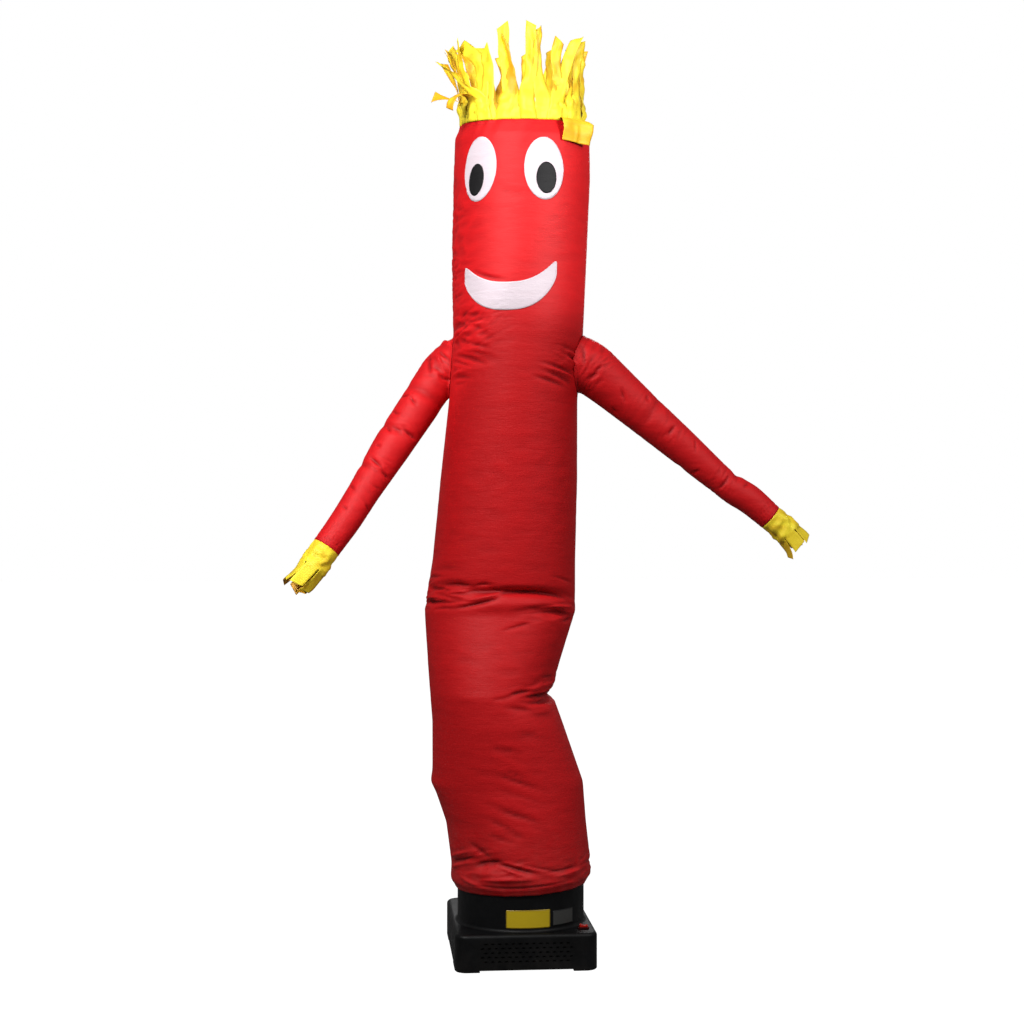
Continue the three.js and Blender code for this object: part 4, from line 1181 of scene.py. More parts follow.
def cut_hand(arm, hand, material):
    """A hand's cloth: its cuff round the wrist, and the strips that are cut from the cuff's edge."""
    radius = arm.knots[-1].radius
    seed = 20.0 + radius * 300
    width = 2 * math.pi * radius / len(hand.strips) - STRIP_GAP
    band, turn, (along, front, side) = cuff_rows(arm, hand, width)
    around = np.append(turn, turn[0] + 2 * math.pi) * radius
    share = np.linspace(0, 1, CUFF_ROWS)
    places = flat_places(around[None, :], (share * HAND_CUFF - HAND_CUFF)[:, None])
    ring = np.linspace(0, 2 * math.pi, len(turn), endpoint=False)
    up = np.linspace(0, 2.2, CUFF_ROWS)[:, None]
    mottle = noise_at(np.sin(ring) * 1.6 + up, np.cos(ring) * 1.6 - up, seed)
    cuff = Pattern()
    cuff.add(band, places, closed=True, tone=np.clip(0.75 + 0.6 * mottle, 0, 1))
    across = np.linspace(0, width, STRIP_CELLS + 1)
    for i, strip in enumerate(hand.strips):
        angle = math.radians(strip.angle)
        outwards = front * math.cos(angle) + side * math.sin(angle)
        row = band[-1, i * (STRIP_CELLS + 1) : (i + 1) * (STRIP_CELLS + 1)]
        points = strip_surface(row, along, outwards, np.cross(along, outwards), width, strip, seed + 3.1 * i)
        run = np.linspace(0, strip.length, len(points))
        places = flat_places(i * (width + STRIP_GAP) + across[None, :], run[:, None])
        shade = np.interp(run, [0, 0.4 * strip.length], [0.75, strip.tone])[:, None]
        cuff.add(points, places, tone=shade)
    piece = cuff.build(f"hand_ribbons_{arm.side}", material)
    merge_doubles(piece.data, 1e-5)
    return thicken(piece, FRINGE_CLOTH)


# ---- The face ----

# span is half a patch's width in degrees, and lean how far its top stands to the right of its middle.
Oval = namedtuple("Oval", "side angle z span half lean")
EYES = [Oval("left", -37.8, 2.523, 16.4, 0.107, 1.6), Oval("right", 18.6, 2.521, 17.0, 0.104, -0.9)]
PUPILS = [Oval("left", -40.3, 2.489, 7.8, 0.053, 1.3), Oval("right", 20.2, 2.491, 8.6, 0.053, -0.3)]
# The smile is a crescent, with its middle at an angle and a height, and a span to each side in degrees.
# Its middle line rises to both sides, by the tilt more on the right and less on the left, and a higher
# bend keeps more of it low. half is half its height, and a higher fullness gives it blunter ends.
SMILE_ANGLE, SMILE_SPAN, SMILE_Z = -9.9, 42.6, 2.1125
SMILE_RISE, SMILE_TILT, SMILE_BEND = 0.081, 0.008, 2.5
SMILE_HALF, SMILE_FULLNESS = 0.0435, 4.8
FACE_CLOTH = 0.0005
PATCH_LIFT = 0.0020
PUPIL_LIFT = 0.0034
PATCH_COLUMNS, PATCH_ROWS = 64, 20
THREAD_LIFT = 0.0004  # how far the middle of a stitch lies over its cloth


def patch_edges(angle_at, upper, lower):
    """The angles and heights of a patch's columns and rows."""
    s = -np.cos(np.linspace(0, math.pi, PATCH_COLUMNS + 1))
    share = np.linspace(0, 1, PATCH_ROWS + 1)[:, None]
    z = lower(s) + (upper(s) - lower(s)) * share
    return angle_at(s, z), z


def oval_edges(oval):
    """The angles and heights of an oval patch."""

    def edge(s):
        return oval.half * np.sqrt(np.maximum(0, 1 - s * s))

    return patch_edges(
        lambda s, z: oval.angle + oval.span * s + oval.lean * (z - oval.z) / oval.half,
        lambda s: oval.z + edge(s),
        lambda s: oval.z - edge(s),
    )


def smile_edge(s, side):
    """The smile's upper edge, for a side of 1, or its lower edge, for -1."""
    half = SMILE_HALF * np.maximum(0, 1 - np.abs(s) ** SMILE_FULLNESS) ** (1 / SMILE_FULLNESS)
    return SMILE_Z + (SMILE_RISE + SMILE_TILT * s) * np.abs(s) ** SMILE_BEND + side * half


def smile_edges():
    """The angles and heights of the smile."""
    return patch_edges(
        lambda s, z: SMILE_ANGLE + SMILE_SPAN * s,
        lambda s: smile_edge(s, 1),
        lambda s: smile_edge(s, -1),
    )


def sew_patch(name, edges, lift, material):
    """A patch of cloth that lies on the tube, lifted off it."""
    angle, z = edges
    patch = Pattern()
    places = flat_places(np.radians(angle) * GIRTH, z)
    patch.add(body_surface(angle, z, lift), places)
    piece = patch.build(name, material)
    merge_doubles(piece.data)
    return thicken(piece, FACE_CLOTH)


# ---- Node trees ----


class Graph:
    """A node tree that is being wired."""

    def __init__(self, tree):
        self.tree = tree

    def node(self, kind, settings=None, **inputs):
        """Adds a node with its settings. Its inputs are named with _ in place of spaces."""
        made = self.tree.nodes.new(kind)
        for key, value in (settings or {}).items():
            setattr(made, key, value)
        for key, value in inputs.items():
            self.feed(made.inputs[key.replace("_", " ")], value)
        return made

    def group(self, tree, **inputs):
        """Adds a group, and returns its outputs."""
        return self.node("ShaderNodeGroup", {"node_tree": tree}, **inputs).outputs

    def feed(self, socket, value):
        """Gives a socket a link or a value."""
        if isinstance(value, bpy.types.NodeSocket):
            self.tree.links.new(value, socket)
        else:
            socket.default_value = value

    def maths(self, operation, *values):
        made = self.tree.nodes.new("ShaderNodeMath")
        made.operation = operation
        for socket, value in zip(made.inputs, values):
            self.feed(socket, value)
        return made.outputs["Value"]

    def spread(self, value, low, high, to_low=0.0, to_high=1.0):
        """Maps a value's range from low to high on another."""
        given = {"Value": value, "From_Min": low, "From_Max": high, "To_Min": to_low, "To_Max": to_high}
        return self.node("ShaderNodeMapRange", **given).outputs["Result"]

    def noise(self, places, scale, detail, roughness=0.5):
        given = {"Vector": places, "Scale": scale, "Detail": detail, "Roughness": roughness}
        return self.node("ShaderNodeTexNoise", **given).outputs[0]

    def mix(self, share, a, b):
        """Mixes two colours."""
        made = self.node("ShaderNodeMix", {"data_type": "RGBA"})
        for socket, value in ((0, share), (6, a), (7, b)):
            self.feed(made.inputs[socket], value)
        return made.outputs[2]


def node_group(kind, name, inputs, outputs):
    """A group with named inputs and outputs, each with its kind of socket or a number's default."""
    tree = bpy.data.node_groups.new(name, kind)
    for way, sockets in (("INPUT", inputs), ("OUTPUT", outputs)):
        for label, given in sockets.items():
            numeric = not isinstance(given, str)
            socket_kind = "NodeSocketFloat" if numeric else f"NodeSocket{given}"
            socket = tree.interface.new_socket(label, in_out=way, socket_type=socket_kind)
            if numeric:
                socket.default_value = given
    graph = Graph(tree)
    return graph, graph.node("NodeGroupInput").outputs, graph.node("NodeGroupOutput").inputs


def once(make):
    """Builds a group the first time that it is asked for."""
    made = []

    def build():
        if not made:
            made.append(make())
        return made[0]

    return build


# ---- Stitches ----

STITCH_PITCH = 0.0046
STITCH = {"Length": 0.0034, "Thread": 0.0009}


def copies_group(name, places, sizes):
    """A tree of Geometry Nodes that lays copies at places: its inputs are the places, the copies' sizes
    and their material."""
    inputs = {places: "Geometry", **dict.fromkeys(sizes, "Float"), "Material": "Material"}
    return node_group("GeometryNodeTree", name, inputs, {"Copies": "Geometry"})


def lay_copies(graph, given, result, places, copied, rotation, sizes):
    """Lays a turned and sized copy at each place, makes the copies real and gives them their material."""
    size = graph.node("ShaderNodeCombineXYZ", **{axis: given[name] for axis, name in zip("XYZ", sizes)})
    laid = graph.node(
        "GeometryNodeInstanceOnPoints",
        Points=places,
        Instance=copied.outputs["Mesh"],
        Rotation=rotation.outputs["Rotation"],
        Scale=size.outputs["Vector"],
    )
    real = graph.node("GeometryNodeRealizeInstances", Geometry=laid.outputs["Instances"]).outputs["Geometry"]
    finished = graph.node("GeometryNodeSetMaterial", Geometry=real, Material=given["Material"])
    graph.feed(result["Copies"], finished.outputs["Geometry"])
    return graph.tree


@once
def stitch_tree():
    """Lays stitches along a line: short threads, one after another."""
    graph, given, result = copies_group("Stitches along a line", "Line", ("Pitch", "Length", "Thread"))
    line = graph.node("GeometryNodeMeshToCurve", Mesh=given["Line"]).outputs["Curve"]
    spaced = graph.node("GeometryNodeResampleCurve", {"mode": "LENGTH"}, Curve=line, Length=given["Pitch"])
    thread = graph.node("GeometryNodeMeshUVSphere", Segments=6, Rings=4, Radius=0.5)
    tangent = graph.node("GeometryNodeInputTangent").outputs["Tangent"]
    turn = graph.node("FunctionNodeAlignRotationToVector", {"axis": "Z"}, Vector=tangent)
    sizes = ("Thread", "Thread", "Length")
    return lay_copies(graph, given, result, spaced.outputs["Curve"], thread, turn, sizes)


def run_nodes(thing, tree, values):
    """Runs a tree of Geometry Nodes on an object, and keeps what it makes as the object's mesh."""
    modifier = thing.modifiers.new(tree.name, "NODES")
    modifier.node_group = tree
    for item in tree.interface.items_tree:
        if item.in_out == "INPUT" and item.name in values:
            modifier[item.identifier] = values[item.name]
    view = bpy.context.evaluated_depsgraph_get()
    made = bpy.data.meshes.new_from_object(thing.evaluated_get(view))
    thing.modifiers.remove(modifier)
    plain, thing.data = thing.data, made
    bpy.data.meshes.remove(plain)
    made.name = thing.name
    return thing


def stitch_lines(name, lines, material):
    """Stitches along lines of points in the figure's own frame."""
    points, edges, count = [], [], 0
    for line in lines:
        points.extend(to_row(line).tolist())
        edges.extend((count + i, count + i + 1) for i in range(len(line) - 1))
        count += len(line)
    thing = make_piece(name, points, [], edges=edges)
    pitch = bpy.context.scene.air_dancer_sizes.stitch_pitch
    run_nodes(thing, stitch_tree(), {"Pitch": pitch, **STITCH, "Material": material})
    thing.data.shade_smooth()
    return thing


def tube_seam_lines():
    """Two rows of stitches up the back seam, and two round the hem and the rim."""
    apart, ends = 1.3, 0.004  # degrees from the seam, and how far short of the hem and the rim
    heights = np.linspace(HEM_Z + ends, RIM_Z - ends, 620)
    back = [body_surface(BACK_SEAM["angle"] + side * apart, heights, THREAD_LIFT) for side in (-1, 1)]
    around = np.linspace(0, 360, 361)
    rows = (HEM_Z + 0.018, HEM_Z + 0.023, RIM_Z - 0.006, RIM_Z - 0.012)
    return back + [body_surface(around, z, THREAD_LIFT) for z in rows]


def sleeve_seam_lines(arm):
    """A row of stitches round a sleeve's root, and two round its wrist."""
    line = arm_line(arm)
    angles = np.linspace(0, 360, 145)
    after_roll, before_wrist = 0.0125, (0.004, 0.009)
    starts = sleeve_starts(arm, line, angles)
    root = arm_surface(arm, line, angles, starts + after_roll, THREAD_LIFT)
    rows = [line.distance[-1] - back for back in before_wrist]
    return [root, *(arm_surface(arm, line, angles, row, THREAD_LIFT) for row in rows)]


def patch_seam_line(edges, lift):
    """A row of stitches just inside a patch's outline."""
    inset = 0.965
    angle, z = edges
    angle = np.concatenate([angle[-1], angle[0][::-1]])
    z = np.concatenate([z[-1], z[0][::-1]])
    middle_angle, middle_z = angle.mean(), z.mean()
    angle = middle_angle + (angle - middle_angle) * inset
    z = middle_z + (z - middle_z) * inset
    return body_surface(np.append(angle, angle[0]), np.append(z, z[0]), lift)


def smile_seam_line():
    """A row of stitches just inside the smile's outline."""
    inset, reach = 0.005, 0.975
    s = -reach * np.cos(np.linspace(0, math.pi, 160))
    angle = SMILE_ANGLE + SMILE_SPAN * s
    upper = smile_edge(s / reach, 1) - inset
    lower = smile_edge(s / reach, -1) + inset
    lower = np.minimum(lower, upper)
    angle = np.concatenate([angle, angle[::-1], angle[:1]])
    z = np.concatenate([upper, lower[::-1], upper[:1]])
    return body_surface(angle, z, PATCH_LIFT + THREAD_LIFT)


# ---- The blower ----

FACING = "facing"
BASE_MIDDLE = (BASE_FRONT + BASE_BACK) / 2
ARCH_LENGTH, ARCH_HEIGHT, ARCH_DEPTH = 0.296, 0.009, 0.026
PORT = {"Width": 0.012, "Height": 0.0052, "Through": 0.016}
PORT_ACROSS, PORT_UP = 0.0215, 0.0138
PORT_ROWS = 5
PORT_LOW = 0.034
PORT_SPAN = 0.290
CORNER_STEPS = 14
EDGE_STEPS = 8
FOOT_EDGE = 0.003


def outline_ring(inset, z):
    """The outline of the base at a height, drawn in from its walls by inset."""
    corner = BASE_CORNER - inset
    right = BASE_WIDTH / 2 - BASE_CORNER
    back, front = BASE_BACK - BASE_CORNER, BASE_FRONT + BASE_CORNER
    points = []
    for quarter, (x, y) in enumerate([(right, back), (-right, back), (-right, front), (right, front)]):
        for i in range(CORNER_STEPS + 1):
            turn = (quarter + i / CORNER_STEPS) * math.pi / 2
            points.append((x + corner * math.cos(turn), y + corner * math.sin(turn), z))
    return points


def loft(name, rings, material):
    """A closed solid through rings of points, counter-clockwise as seen from the last."""
    sides = len(rings[0])
    faces = []
    for i in range(len(rings) - 1):
        for j in range(sides):
            k = (j + 1) % sides
            faces.append((i * sides + j, i * sides + k, (i + 1) * sides + k, (i + 1) * sides + j))
    faces.append(tuple(range(sides - 1, -1, -1)))
    faces.append(tuple((len(rings) - 1) * sides + j for j in range(sides)))
    return make_piece(name, [point for ring in rings for point in ring], faces, material)


def port_places():
    """The middle of each small opening in the walls, with the wall's outward direction."""
    walls = [
        ((0, BASE_FRONT), (1, 0), (0, -1)),
        ((0, BASE_BACK), (-1, 0), (0, 1)),
        ((-BASE_WIDTH / 2, BASE_MIDDLE), (0, -1), (-1, 0)),
        ((BASE_WIDTH / 2, BASE_MIDDLE), (0, 1), (1, 0)),
    ]
    for (x, y), (dx, dy), out in walls:
        for row in range(PORT_ROWS):
            count = round(PORT_SPAN / PORT_ACROSS) + row % 2
            for i in range(count):
                away = (i - (count - 1) / 2) * PORT_ACROSS
                yield (x + dx * away, y + dy * away, PORT_LOW + row * PORT_UP), out


def port_tree():
    """Lays an oblong cutter at each point, turned to its wall."""
    graph, given, result = copies_group("Ports in the walls", "Places", tuple(PORT))
    cutter = graph.node("GeometryNodeMeshCylinder", Vertices=12, Radius=0.5, Depth=1.0)
    facing = graph.node("GeometryNodeInputNamedAttribute", {"data_type": "FLOAT_VECTOR"}, Name=FACING)
    upright = graph.node("ShaderNodeCombineXYZ", Z=1.0)
    turn = graph.node(
        "FunctionNodeAxesToRotation",
        {"primary_axis": "Z", "secondary_axis": "X"},
        Primary_Axis=facing.outputs["Attribute"],
        Secondary_Axis=upright.outputs["Vector"],
    )
    sizes = ("Height", "Width", "Through")
    return lay_copies(graph, given, result, given["Places"], cutter, turn, sizes)


def cut_away(thing, cutter):
    """Cuts one solid out of another, and removes the cutter."""
    modifier = thing.modifiers.new("cut", "BOOLEAN")
    modifier.operation = "DIFFERENCE"
    modifier.solver = "EXACT"
    modifier.object = cutter
    view = bpy.context.evaluated_depsgraph_get()
    made = bpy.data.meshes.new_from_object(thing.evaluated_get(view))
    thing.modifiers.remove(modifier)
    thing.data = made
    bpy.data.objects.remove(cutter)
    return thing


# The faces of a box whose corners run across, then back, then up.
BOX_FACES = [(0, 2, 3, 1), (4, 5, 7, 6), (0, 1, 5, 4), (2, 6, 7, 3), (0, 4, 6, 2), (1, 3, 7, 5)]


def arch_cutter():
    """The low arches between the feet, one under each wall."""
    half, wall, past = ARCH_LENGTH / 2, BASE_WIDTH / 2, 0.01
    points, faces = [], []
    for low, high in (
        ((-half, BASE_FRONT - past), (half, BASE_FRONT + ARCH_DEPTH)),
        ((-half, BASE_BACK - ARCH_DEPTH), (half, BASE_BACK + past)),
        ((-wall - past, BASE_MIDDLE - half), (ARCH_DEPTH - wall, BASE_MIDDLE + half)),
        ((wall - ARCH_DEPTH, BASE_MIDDLE - half), (wall + past, BASE_MIDDLE + half)),
    ):
        faces.extend(tuple(len(points) + i for i in side) for side in BOX_FACES)
        for z in (-past, ARCH_HEIGHT):
            points.extend((x, y, z) for y in (low[1], high[1]) for x in (low[0], high[0]))
    return make_piece("arch_cutter", points, faces)


def port_cutter(material):
    """The cutters of the small openings in the walls."""
    places, facing = zip(*port_places())
    cutter = make_piece("port_cutter", list(places), [])
    outward = cutter.data.attributes.new(FACING, "FLOAT_VECTOR", "POINT")
    outward.data.foreach_set("vector", np.array([(x, y, 0) for x, y in facing], float).ravel())
    return run_nodes(cutter, port_tree(), {**PORT, "Material": material})


def quarter_turn(steps):
    """The cosine and the sine at steps of a quarter turn."""
    turns = [i / steps * math.pi / 2 for i in range(steps + 1)]
    return [(math.cos(turn), math.sin(turn)) for turn in turns]


def mould_housing(material):
    """The housing of the blower: rounded walls and deck, feet between arches, and rows of ports."""
    rings = [outline_ring(FOOT_EDGE, 0.0), outline_ring(0.0, FOOT_EDGE)]
    for c, s in quarter_turn(EDGE_STEPS):
        rings.append(outline_ring(BASE_EDGE * (1 - c), BASE_HEIGHT - BASE_EDGE * (1 - s)))
    housing = loft("blower_housing", rings, material)
    cut_away(housing, arch_cutter())
    cut_away(housing, port_cutter(material))
    smooth_by_angle(housing, 35)
    return housing


def turned(name, profile, sides, material, along_y=None):
    """A closed solid turned from a profile of radii and heights, round the upright axis, or round one
    that points backwards from along_y, a place across and up."""
    points, faces = [], []
    count = len(profile)
    for i in range(sides):
        turn = 2 * math.pi * i / sides
        c, s = math.cos(turn), math.sin(turn)
        for radius, height in profile:
            if along_y is None:
                points.append((radius * c, radius * s, height))
            else:
                points.append((along_y[0] + radius * s, height, along_y[1] + radius * c))
        k = (i + 1) % sides
        for j in range(count):
            n = (j + 1) % count
            faces.append((i * count + j, k * count + j, k * count + n, i * count + n))
    piece = make_piece(name, points, faces, material)
    merge_doubles(piece.data)
    point_outwards(piece.data)
    return piece


COLLAR_SIDES = 120
COLLAR_FILLET = 0.011
LIP_START, LIP_FULL = 0.024, 0.016  # how far below the top the lip starts, and has its full width


def mould_collar(material):
    """The collar that the tube's hem goes round, with a fillet at its foot and a lip at its top."""
    inner, low = COLLAR_RADIUS - COLLAR_WALL, BASE_HEIGHT + GAP
    lip, bend, fillet = COLLAR_RADIUS + COLLAR_LIP, COLLAR_LIP / 2, COLLAR_FILLET
    profile = [(inner, low)]
    profile += [(COLLAR_RADIUS + fillet * (1 - s), low + fillet * (1 - c)) for c, s in quarter_turn(8)]
    profile += [(COLLAR_RADIUS, COLLAR_TOP - LIP_START), (lip, COLLAR_TOP - LIP_FULL)]
    profile += [(lip - bend * (1 - c), COLLAR_TOP - bend * (1 - s)) for c, s in quarter_turn(4)]
    profile += [(inner + 0.001, COLLAR_TOP), (inner, COLLAR_TOP - 0.001)]
    collar = turned("outlet_collar", profile, COLLAR_SIDES, material)
    smooth_by_angle(collar, 40)
    return collar


# span is half a film's width in degrees, low and high are its edges, and corner is its corners' radius.
Film = namedtuple("Film", "name node angle span low high corner")
FILMS = rows_of(
    Film,
    ("film_yellow", "label_yellow", 1.8, 19.9, 131, 189, 4),
    ("film_grey", "label_grey", 36.4, 12.0, 134, 182, 3),
)
FILM_THICKNESS = 0.0006


def stick_film(film, material):
    """A thin film on the collar, with rounded corners, and its places across and up it from its middle."""
    columns, rows = 48, 16
    half = math.radians(film.span) * COLLAR_RADIUS
    tall = (film.high - film.low) / 2
    across = -np.cos(np.linspace(0, math.pi, columns + 1)) * half
    near_end = np.maximum(0, film.corner - (half - np.abs(across)))
    room = tall - film.corner + np.sqrt(np.maximum(0, film.corner**2 - near_end**2))
    up = np.linspace(-1, 1, rows + 1)[:, None] * room
    turn = math.radians(film.angle) + across / COLLAR_RADIUS
    radius = COLLAR_RADIUS + GAP + FILM_THICKNESS
    height = (film.low + film.high) / 2 + up
    points = np.stack(np.broadcast_arrays(radius * np.sin(turn), -radius * np.cos(turn), height), -1)
    index = np.arange(up.size).reshape(up.shape)
    column = np.arange(columns)
    faces = np.stack(cell_corners(index, column, column + 1), -1).reshape(-1, 4)
    piece = make_piece(film.name, points.reshape(-1, 3).tolist(), faces.tolist(), material)
    flat = flat_places(across / half, up / tall).reshape(-1, 2)
    piece.data.uv_layers.new(name=CLOTH_MAP).data.foreach_set("uv", flat[faces.ravel()].ravel())
    piece.data.shade_smooth()
    return thicken(piece, FILM_THICKNESS)


SWITCH = {"x": 0.186, "y": -0.158, "length": 0.034, "width": 0.024, "height": 0.006, "wall": 0.0033}
SWITCH_PIVOT = 0.0064  # how far the rocker's axis is above the deck
SWITCH_TILT = math.radians(8)
EDGE_SEGMENTS = 3
# The rocker's cap: half its length, its width, and the heights of its ends, of the middle of its dish,
# of its sides and of its keel, from its axis.
ROCKER_CAP = {"half": 0.0125, "width": 0.016, "top": 0.007, "dip": 0.004, "side": -0.0016, "keel": -0.005}


def round_edges(thing, width):
    bevel = thing.modifiers.new("rounded edges", "BEVEL")
    bevel.width = width
    bevel.segments = EDGE_SEGMENTS
    bevel.limit_method = "ANGLE"
    bevel.harden_normals = False
    return thing


def mould_switch_frame(material):
    """The frame of the switch: a rectangle with a rectangular hole."""
    length, width, height, wall = (SWITCH[k] for k in ("length", "width", "height", "wall"))
    low = BASE_HEIGHT + GAP
    points = []
    for z in (low, low + height):
        for inset in (0, wall):
            for sx, sy in ((-1, -1), (1, -1), (1, 1), (-1, 1)):
                x, y = sx * (length / 2 - inset), sy * (width / 2 - inset)
                points.append((SWITCH["x"] + x, SWITCH["y"] + y, z))
    faces = []
    for i in range(4):
        k = (i + 1) % 4
        faces.append((i, k, 8 + k, 8 + i))
        faces.append((4 + k, 4 + i, 12 + i, 12 + k))
        faces.append((8 + i, 8 + k, 12 + k, 12 + i))
        faces.append((k, i, 4 + i, 4 + k))
    return round_edges(make_piece("rocker_frame", points, faces, material), 0.0009)


def mould_rocker(material):
    """The rocker, which rests with its right end down."""
    r = ROCKER_CAP
    dish = [(-r["half"] + 2 * r["half"] * i / 12, i / 6 - 1) for i in range(13)]
    outline = [(x, r["dip"] + (r["top"] - r["dip"]) * t * t) for x, t in reversed(dish)]
    outline += [(-r["half"], r["side"]), (0, r["keel"]), (r["half"], r["side"])]
    c, s = math.cos(SWITCH_TILT), math.sin(SWITCH_TILT)
    points, count = [], len(outline)
    for y in (-r["width"] / 2, r["width"] / 2):
        for x, z in outline:
            across, up = x * c + z * s, z * c - x * s
            points.append((SWITCH["x"] + across, SWITCH["y"] + y, BASE_HEIGHT + SWITCH_PIVOT + up))
    faces = [tuple(range(count - 1, -1, -1)), tuple(range(count, 2 * count))]
    for i in range(count):
        k = (i + 1) % count
        faces.append((i, k, count + k, count + i))
    cap = make_piece("rocker_cap", points, faces, material)
    point_outwards(cap.data)
    smooth_by_angle(cap, 30)
    return round_edges(cap, 0.0007)


def mould_gland(material):
    """The gland in the back wall that a mains lead goes into: a nut that tapers, with its bore."""
    x, z, radius, bore, length = 0.130, 0.046, 0.010, 0.0045, 0.013
    start = BASE_BACK + GAP
    profile = [
        (0, start),
        (radius, start),
        (radius, start + length * 0.36),
        (radius * 0.95, start + length * 0.42),
        (radius * 0.93, start + length * 0.5),
        (radius * 0.72, start + length * 0.92),
        (radius * 0.66, start + length),
        (bore, start + length),
        (bore, start + length * 0.3),
        (0, start + length * 0.3),
    ]
    gland = turned("lead_gland", profile, 48, material, along_y=(x, z))
    smooth_by_angle(gland, 35)
    return gland


# ---- Finishes ----


def linear(colour):
    """An sRGB colour from 0 to 255, as Blender's linear light."""
    parts = [c / 255 for c in colour]
    return tuple(p / 12.92 if p <= 0.04045 else ((p + 0.055) / 1.055) ** 2.4 for p in parts)


@once
def weave_group():
    """Fine plain weave with a square grid of thicker threads, on the flat cloth's own places."""
    inputs = {"Places": "Vector", "Thread": 0.0007, "Grid": 0.006, "Grid strength": 1.0}
    outputs = {"Height": "Float", "Shade": "Float"}
    graph, given, result = node_group("ShaderNodeTree", "Ripstop weave", inputs, outputs)
    parts = graph.node("ShaderNodeSeparateXYZ", Vector=given["Places"]).outputs
    rate = graph.maths("DIVIDE", 2 * math.pi, given["Thread"])
    across = graph.maths("SINE", graph.maths("MULTIPLY", parts["X"], rate))
    up = graph.maths("SINE", graph.maths("MULTIPLY", parts["Y"], rate))
    woven = graph.maths("MULTIPLY", across, up)
    lines = []
    for axis in ("X", "Y"):
        step = graph.maths("FRACT", graph.maths("DIVIDE", parts[axis], given["Grid"]))
        away = graph.maths("ABSOLUTE", graph.maths("SUBTRACT", step, 0.5))
        lines.append(graph.spread(away, 0.40, 0.48))
    grid = graph.maths("MULTIPLY", graph.maths("MAXIMUM", *lines), given["Grid strength"])
    height = graph.maths("ADD", graph.maths("MULTIPLY", woven, 0.35), grid)
    graph.feed(result["Height"], height)
    shade = graph.maths("ADD", graph.maths("MULTIPLY", woven, 0.02), graph.maths("MULTIPLY", grid, -0.05))
    graph.feed(result["Shade"], shade)
    return graph.tree


@once
def creasing_group():
    """Small soft creases and handling marks of thin cloth, on object places, with a painted shade that is
    darker where the creases lie low.
    """
    inputs = {"Places": "Vector", "Scale": 1.0}
    outputs = {"Height": "Float", "Shade": "Float"}
    graph, given, result = node_group("ShaderNodeTree", "Cloth creasing", inputs, outputs)
    flatter = graph.node("ShaderNodeMapping", Vector=given["Places"], Scale=(1.0, 1.0, 4.5)).outputs[0]
    wide = graph.noise(flatter, graph.maths("MULTIPLY", given["Scale"], 9.0), 3.0, 0.55)
    fine = graph.noise(flatter, graph.maths("MULTIPLY", given["Scale"], 38.0), 4.0, 0.6)
    ridged = graph.maths("ABSOLUTE", graph.maths("SUBTRACT", fine, 0.5))
    graph.feed(result["Height"], graph.maths("ADD", graph.maths("MULTIPLY", ridged, -0.5), wide))
    # painted shade: darker where the wide creases lie low
    graph.feed(result["Shade"], graph.maths("SUBTRACT", wide, 0.5))
    return graph.tree


@once
def soiling_group():
    """Ground dust: more of it low down and in patches."""
    inputs = {"Places": "Vector", "Low": 0.0, "High": 0.5, "Amount": 0.3}
    outputs = {"Mask": "Float"}
    graph, given, result = node_group("ShaderNodeTree", "Ground dust", inputs, outputs)
    height = graph.node("ShaderNodeSeparateXYZ", Vector=given["Places"]).outputs["Z"]
    fall = graph.spread(height, given["High"], given["Low"])
    patches = graph.spread(graph.noise(given["Places"], 24.0, 6.0, 0.65), 0.35, 0.7)
    lying = graph.maths("MULTIPLY", fall, patches)
    graph.feed(result["Mask"], graph.maths("MULTIPLY", lying, given["Amount"]))
    return graph.tree


@once
def grain_group():
    """The fine grain of a moulded surface, and a few rubbed marks."""
    inputs = {"Places": "Vector", "Grain": 900.0}
    outputs = {"Height": "Float", "Rubbed": "Float"}
    graph, given, result = node_group("ShaderNodeTree", "Moulded grain", inputs, outputs)
    grain = graph.node("ShaderNodeTexVoronoi", Vector=given["Places"], Scale=given["Grain"])
    fine = graph.noise(given["Places"], 420.0, 4.0)
    worn = graph.noise(given["Places"], 11.0, 7.0, 0.7)
    graph.feed(result["Height"], graph.maths("ADD", grain.outputs["Distance"], fine))
    graph.feed(result["Rubbed"], graph.spread(worn, 0.45, 0.75))
    return graph.tree


def new_material(name, roughness, specular=0.5):
    """A material with its surface shader set up, and the graph to wire the rest."""
    material = bpy.data.materials.new(name)
    material.use_nodes = True
    material.node_tree.nodes.clear()
    graph = Graph(material.node_tree)
    surface = graph.node("ShaderNodeBsdfPrincipled")
    surface.inputs["Roughness"].default_value = roughness
    surface.inputs["Specular IOR Level"].default_value = specular
    graph.node("ShaderNodeOutputMaterial", Surface=surface.outputs["BSDF"])
    return material, graph, surface.inputs


def bump(graph, surface, height, distance, strength):
    """Gives a surface fine relief that the eye sees and the mesh doesn't have."""
    made = graph.node("ShaderNodeBump", Height=height, Strength=strength, Distance=distance)
    graph.feed(surface["Normal"], made.outputs["Normal"])


DUST = (0.30, 0.26, 0.22, 1)


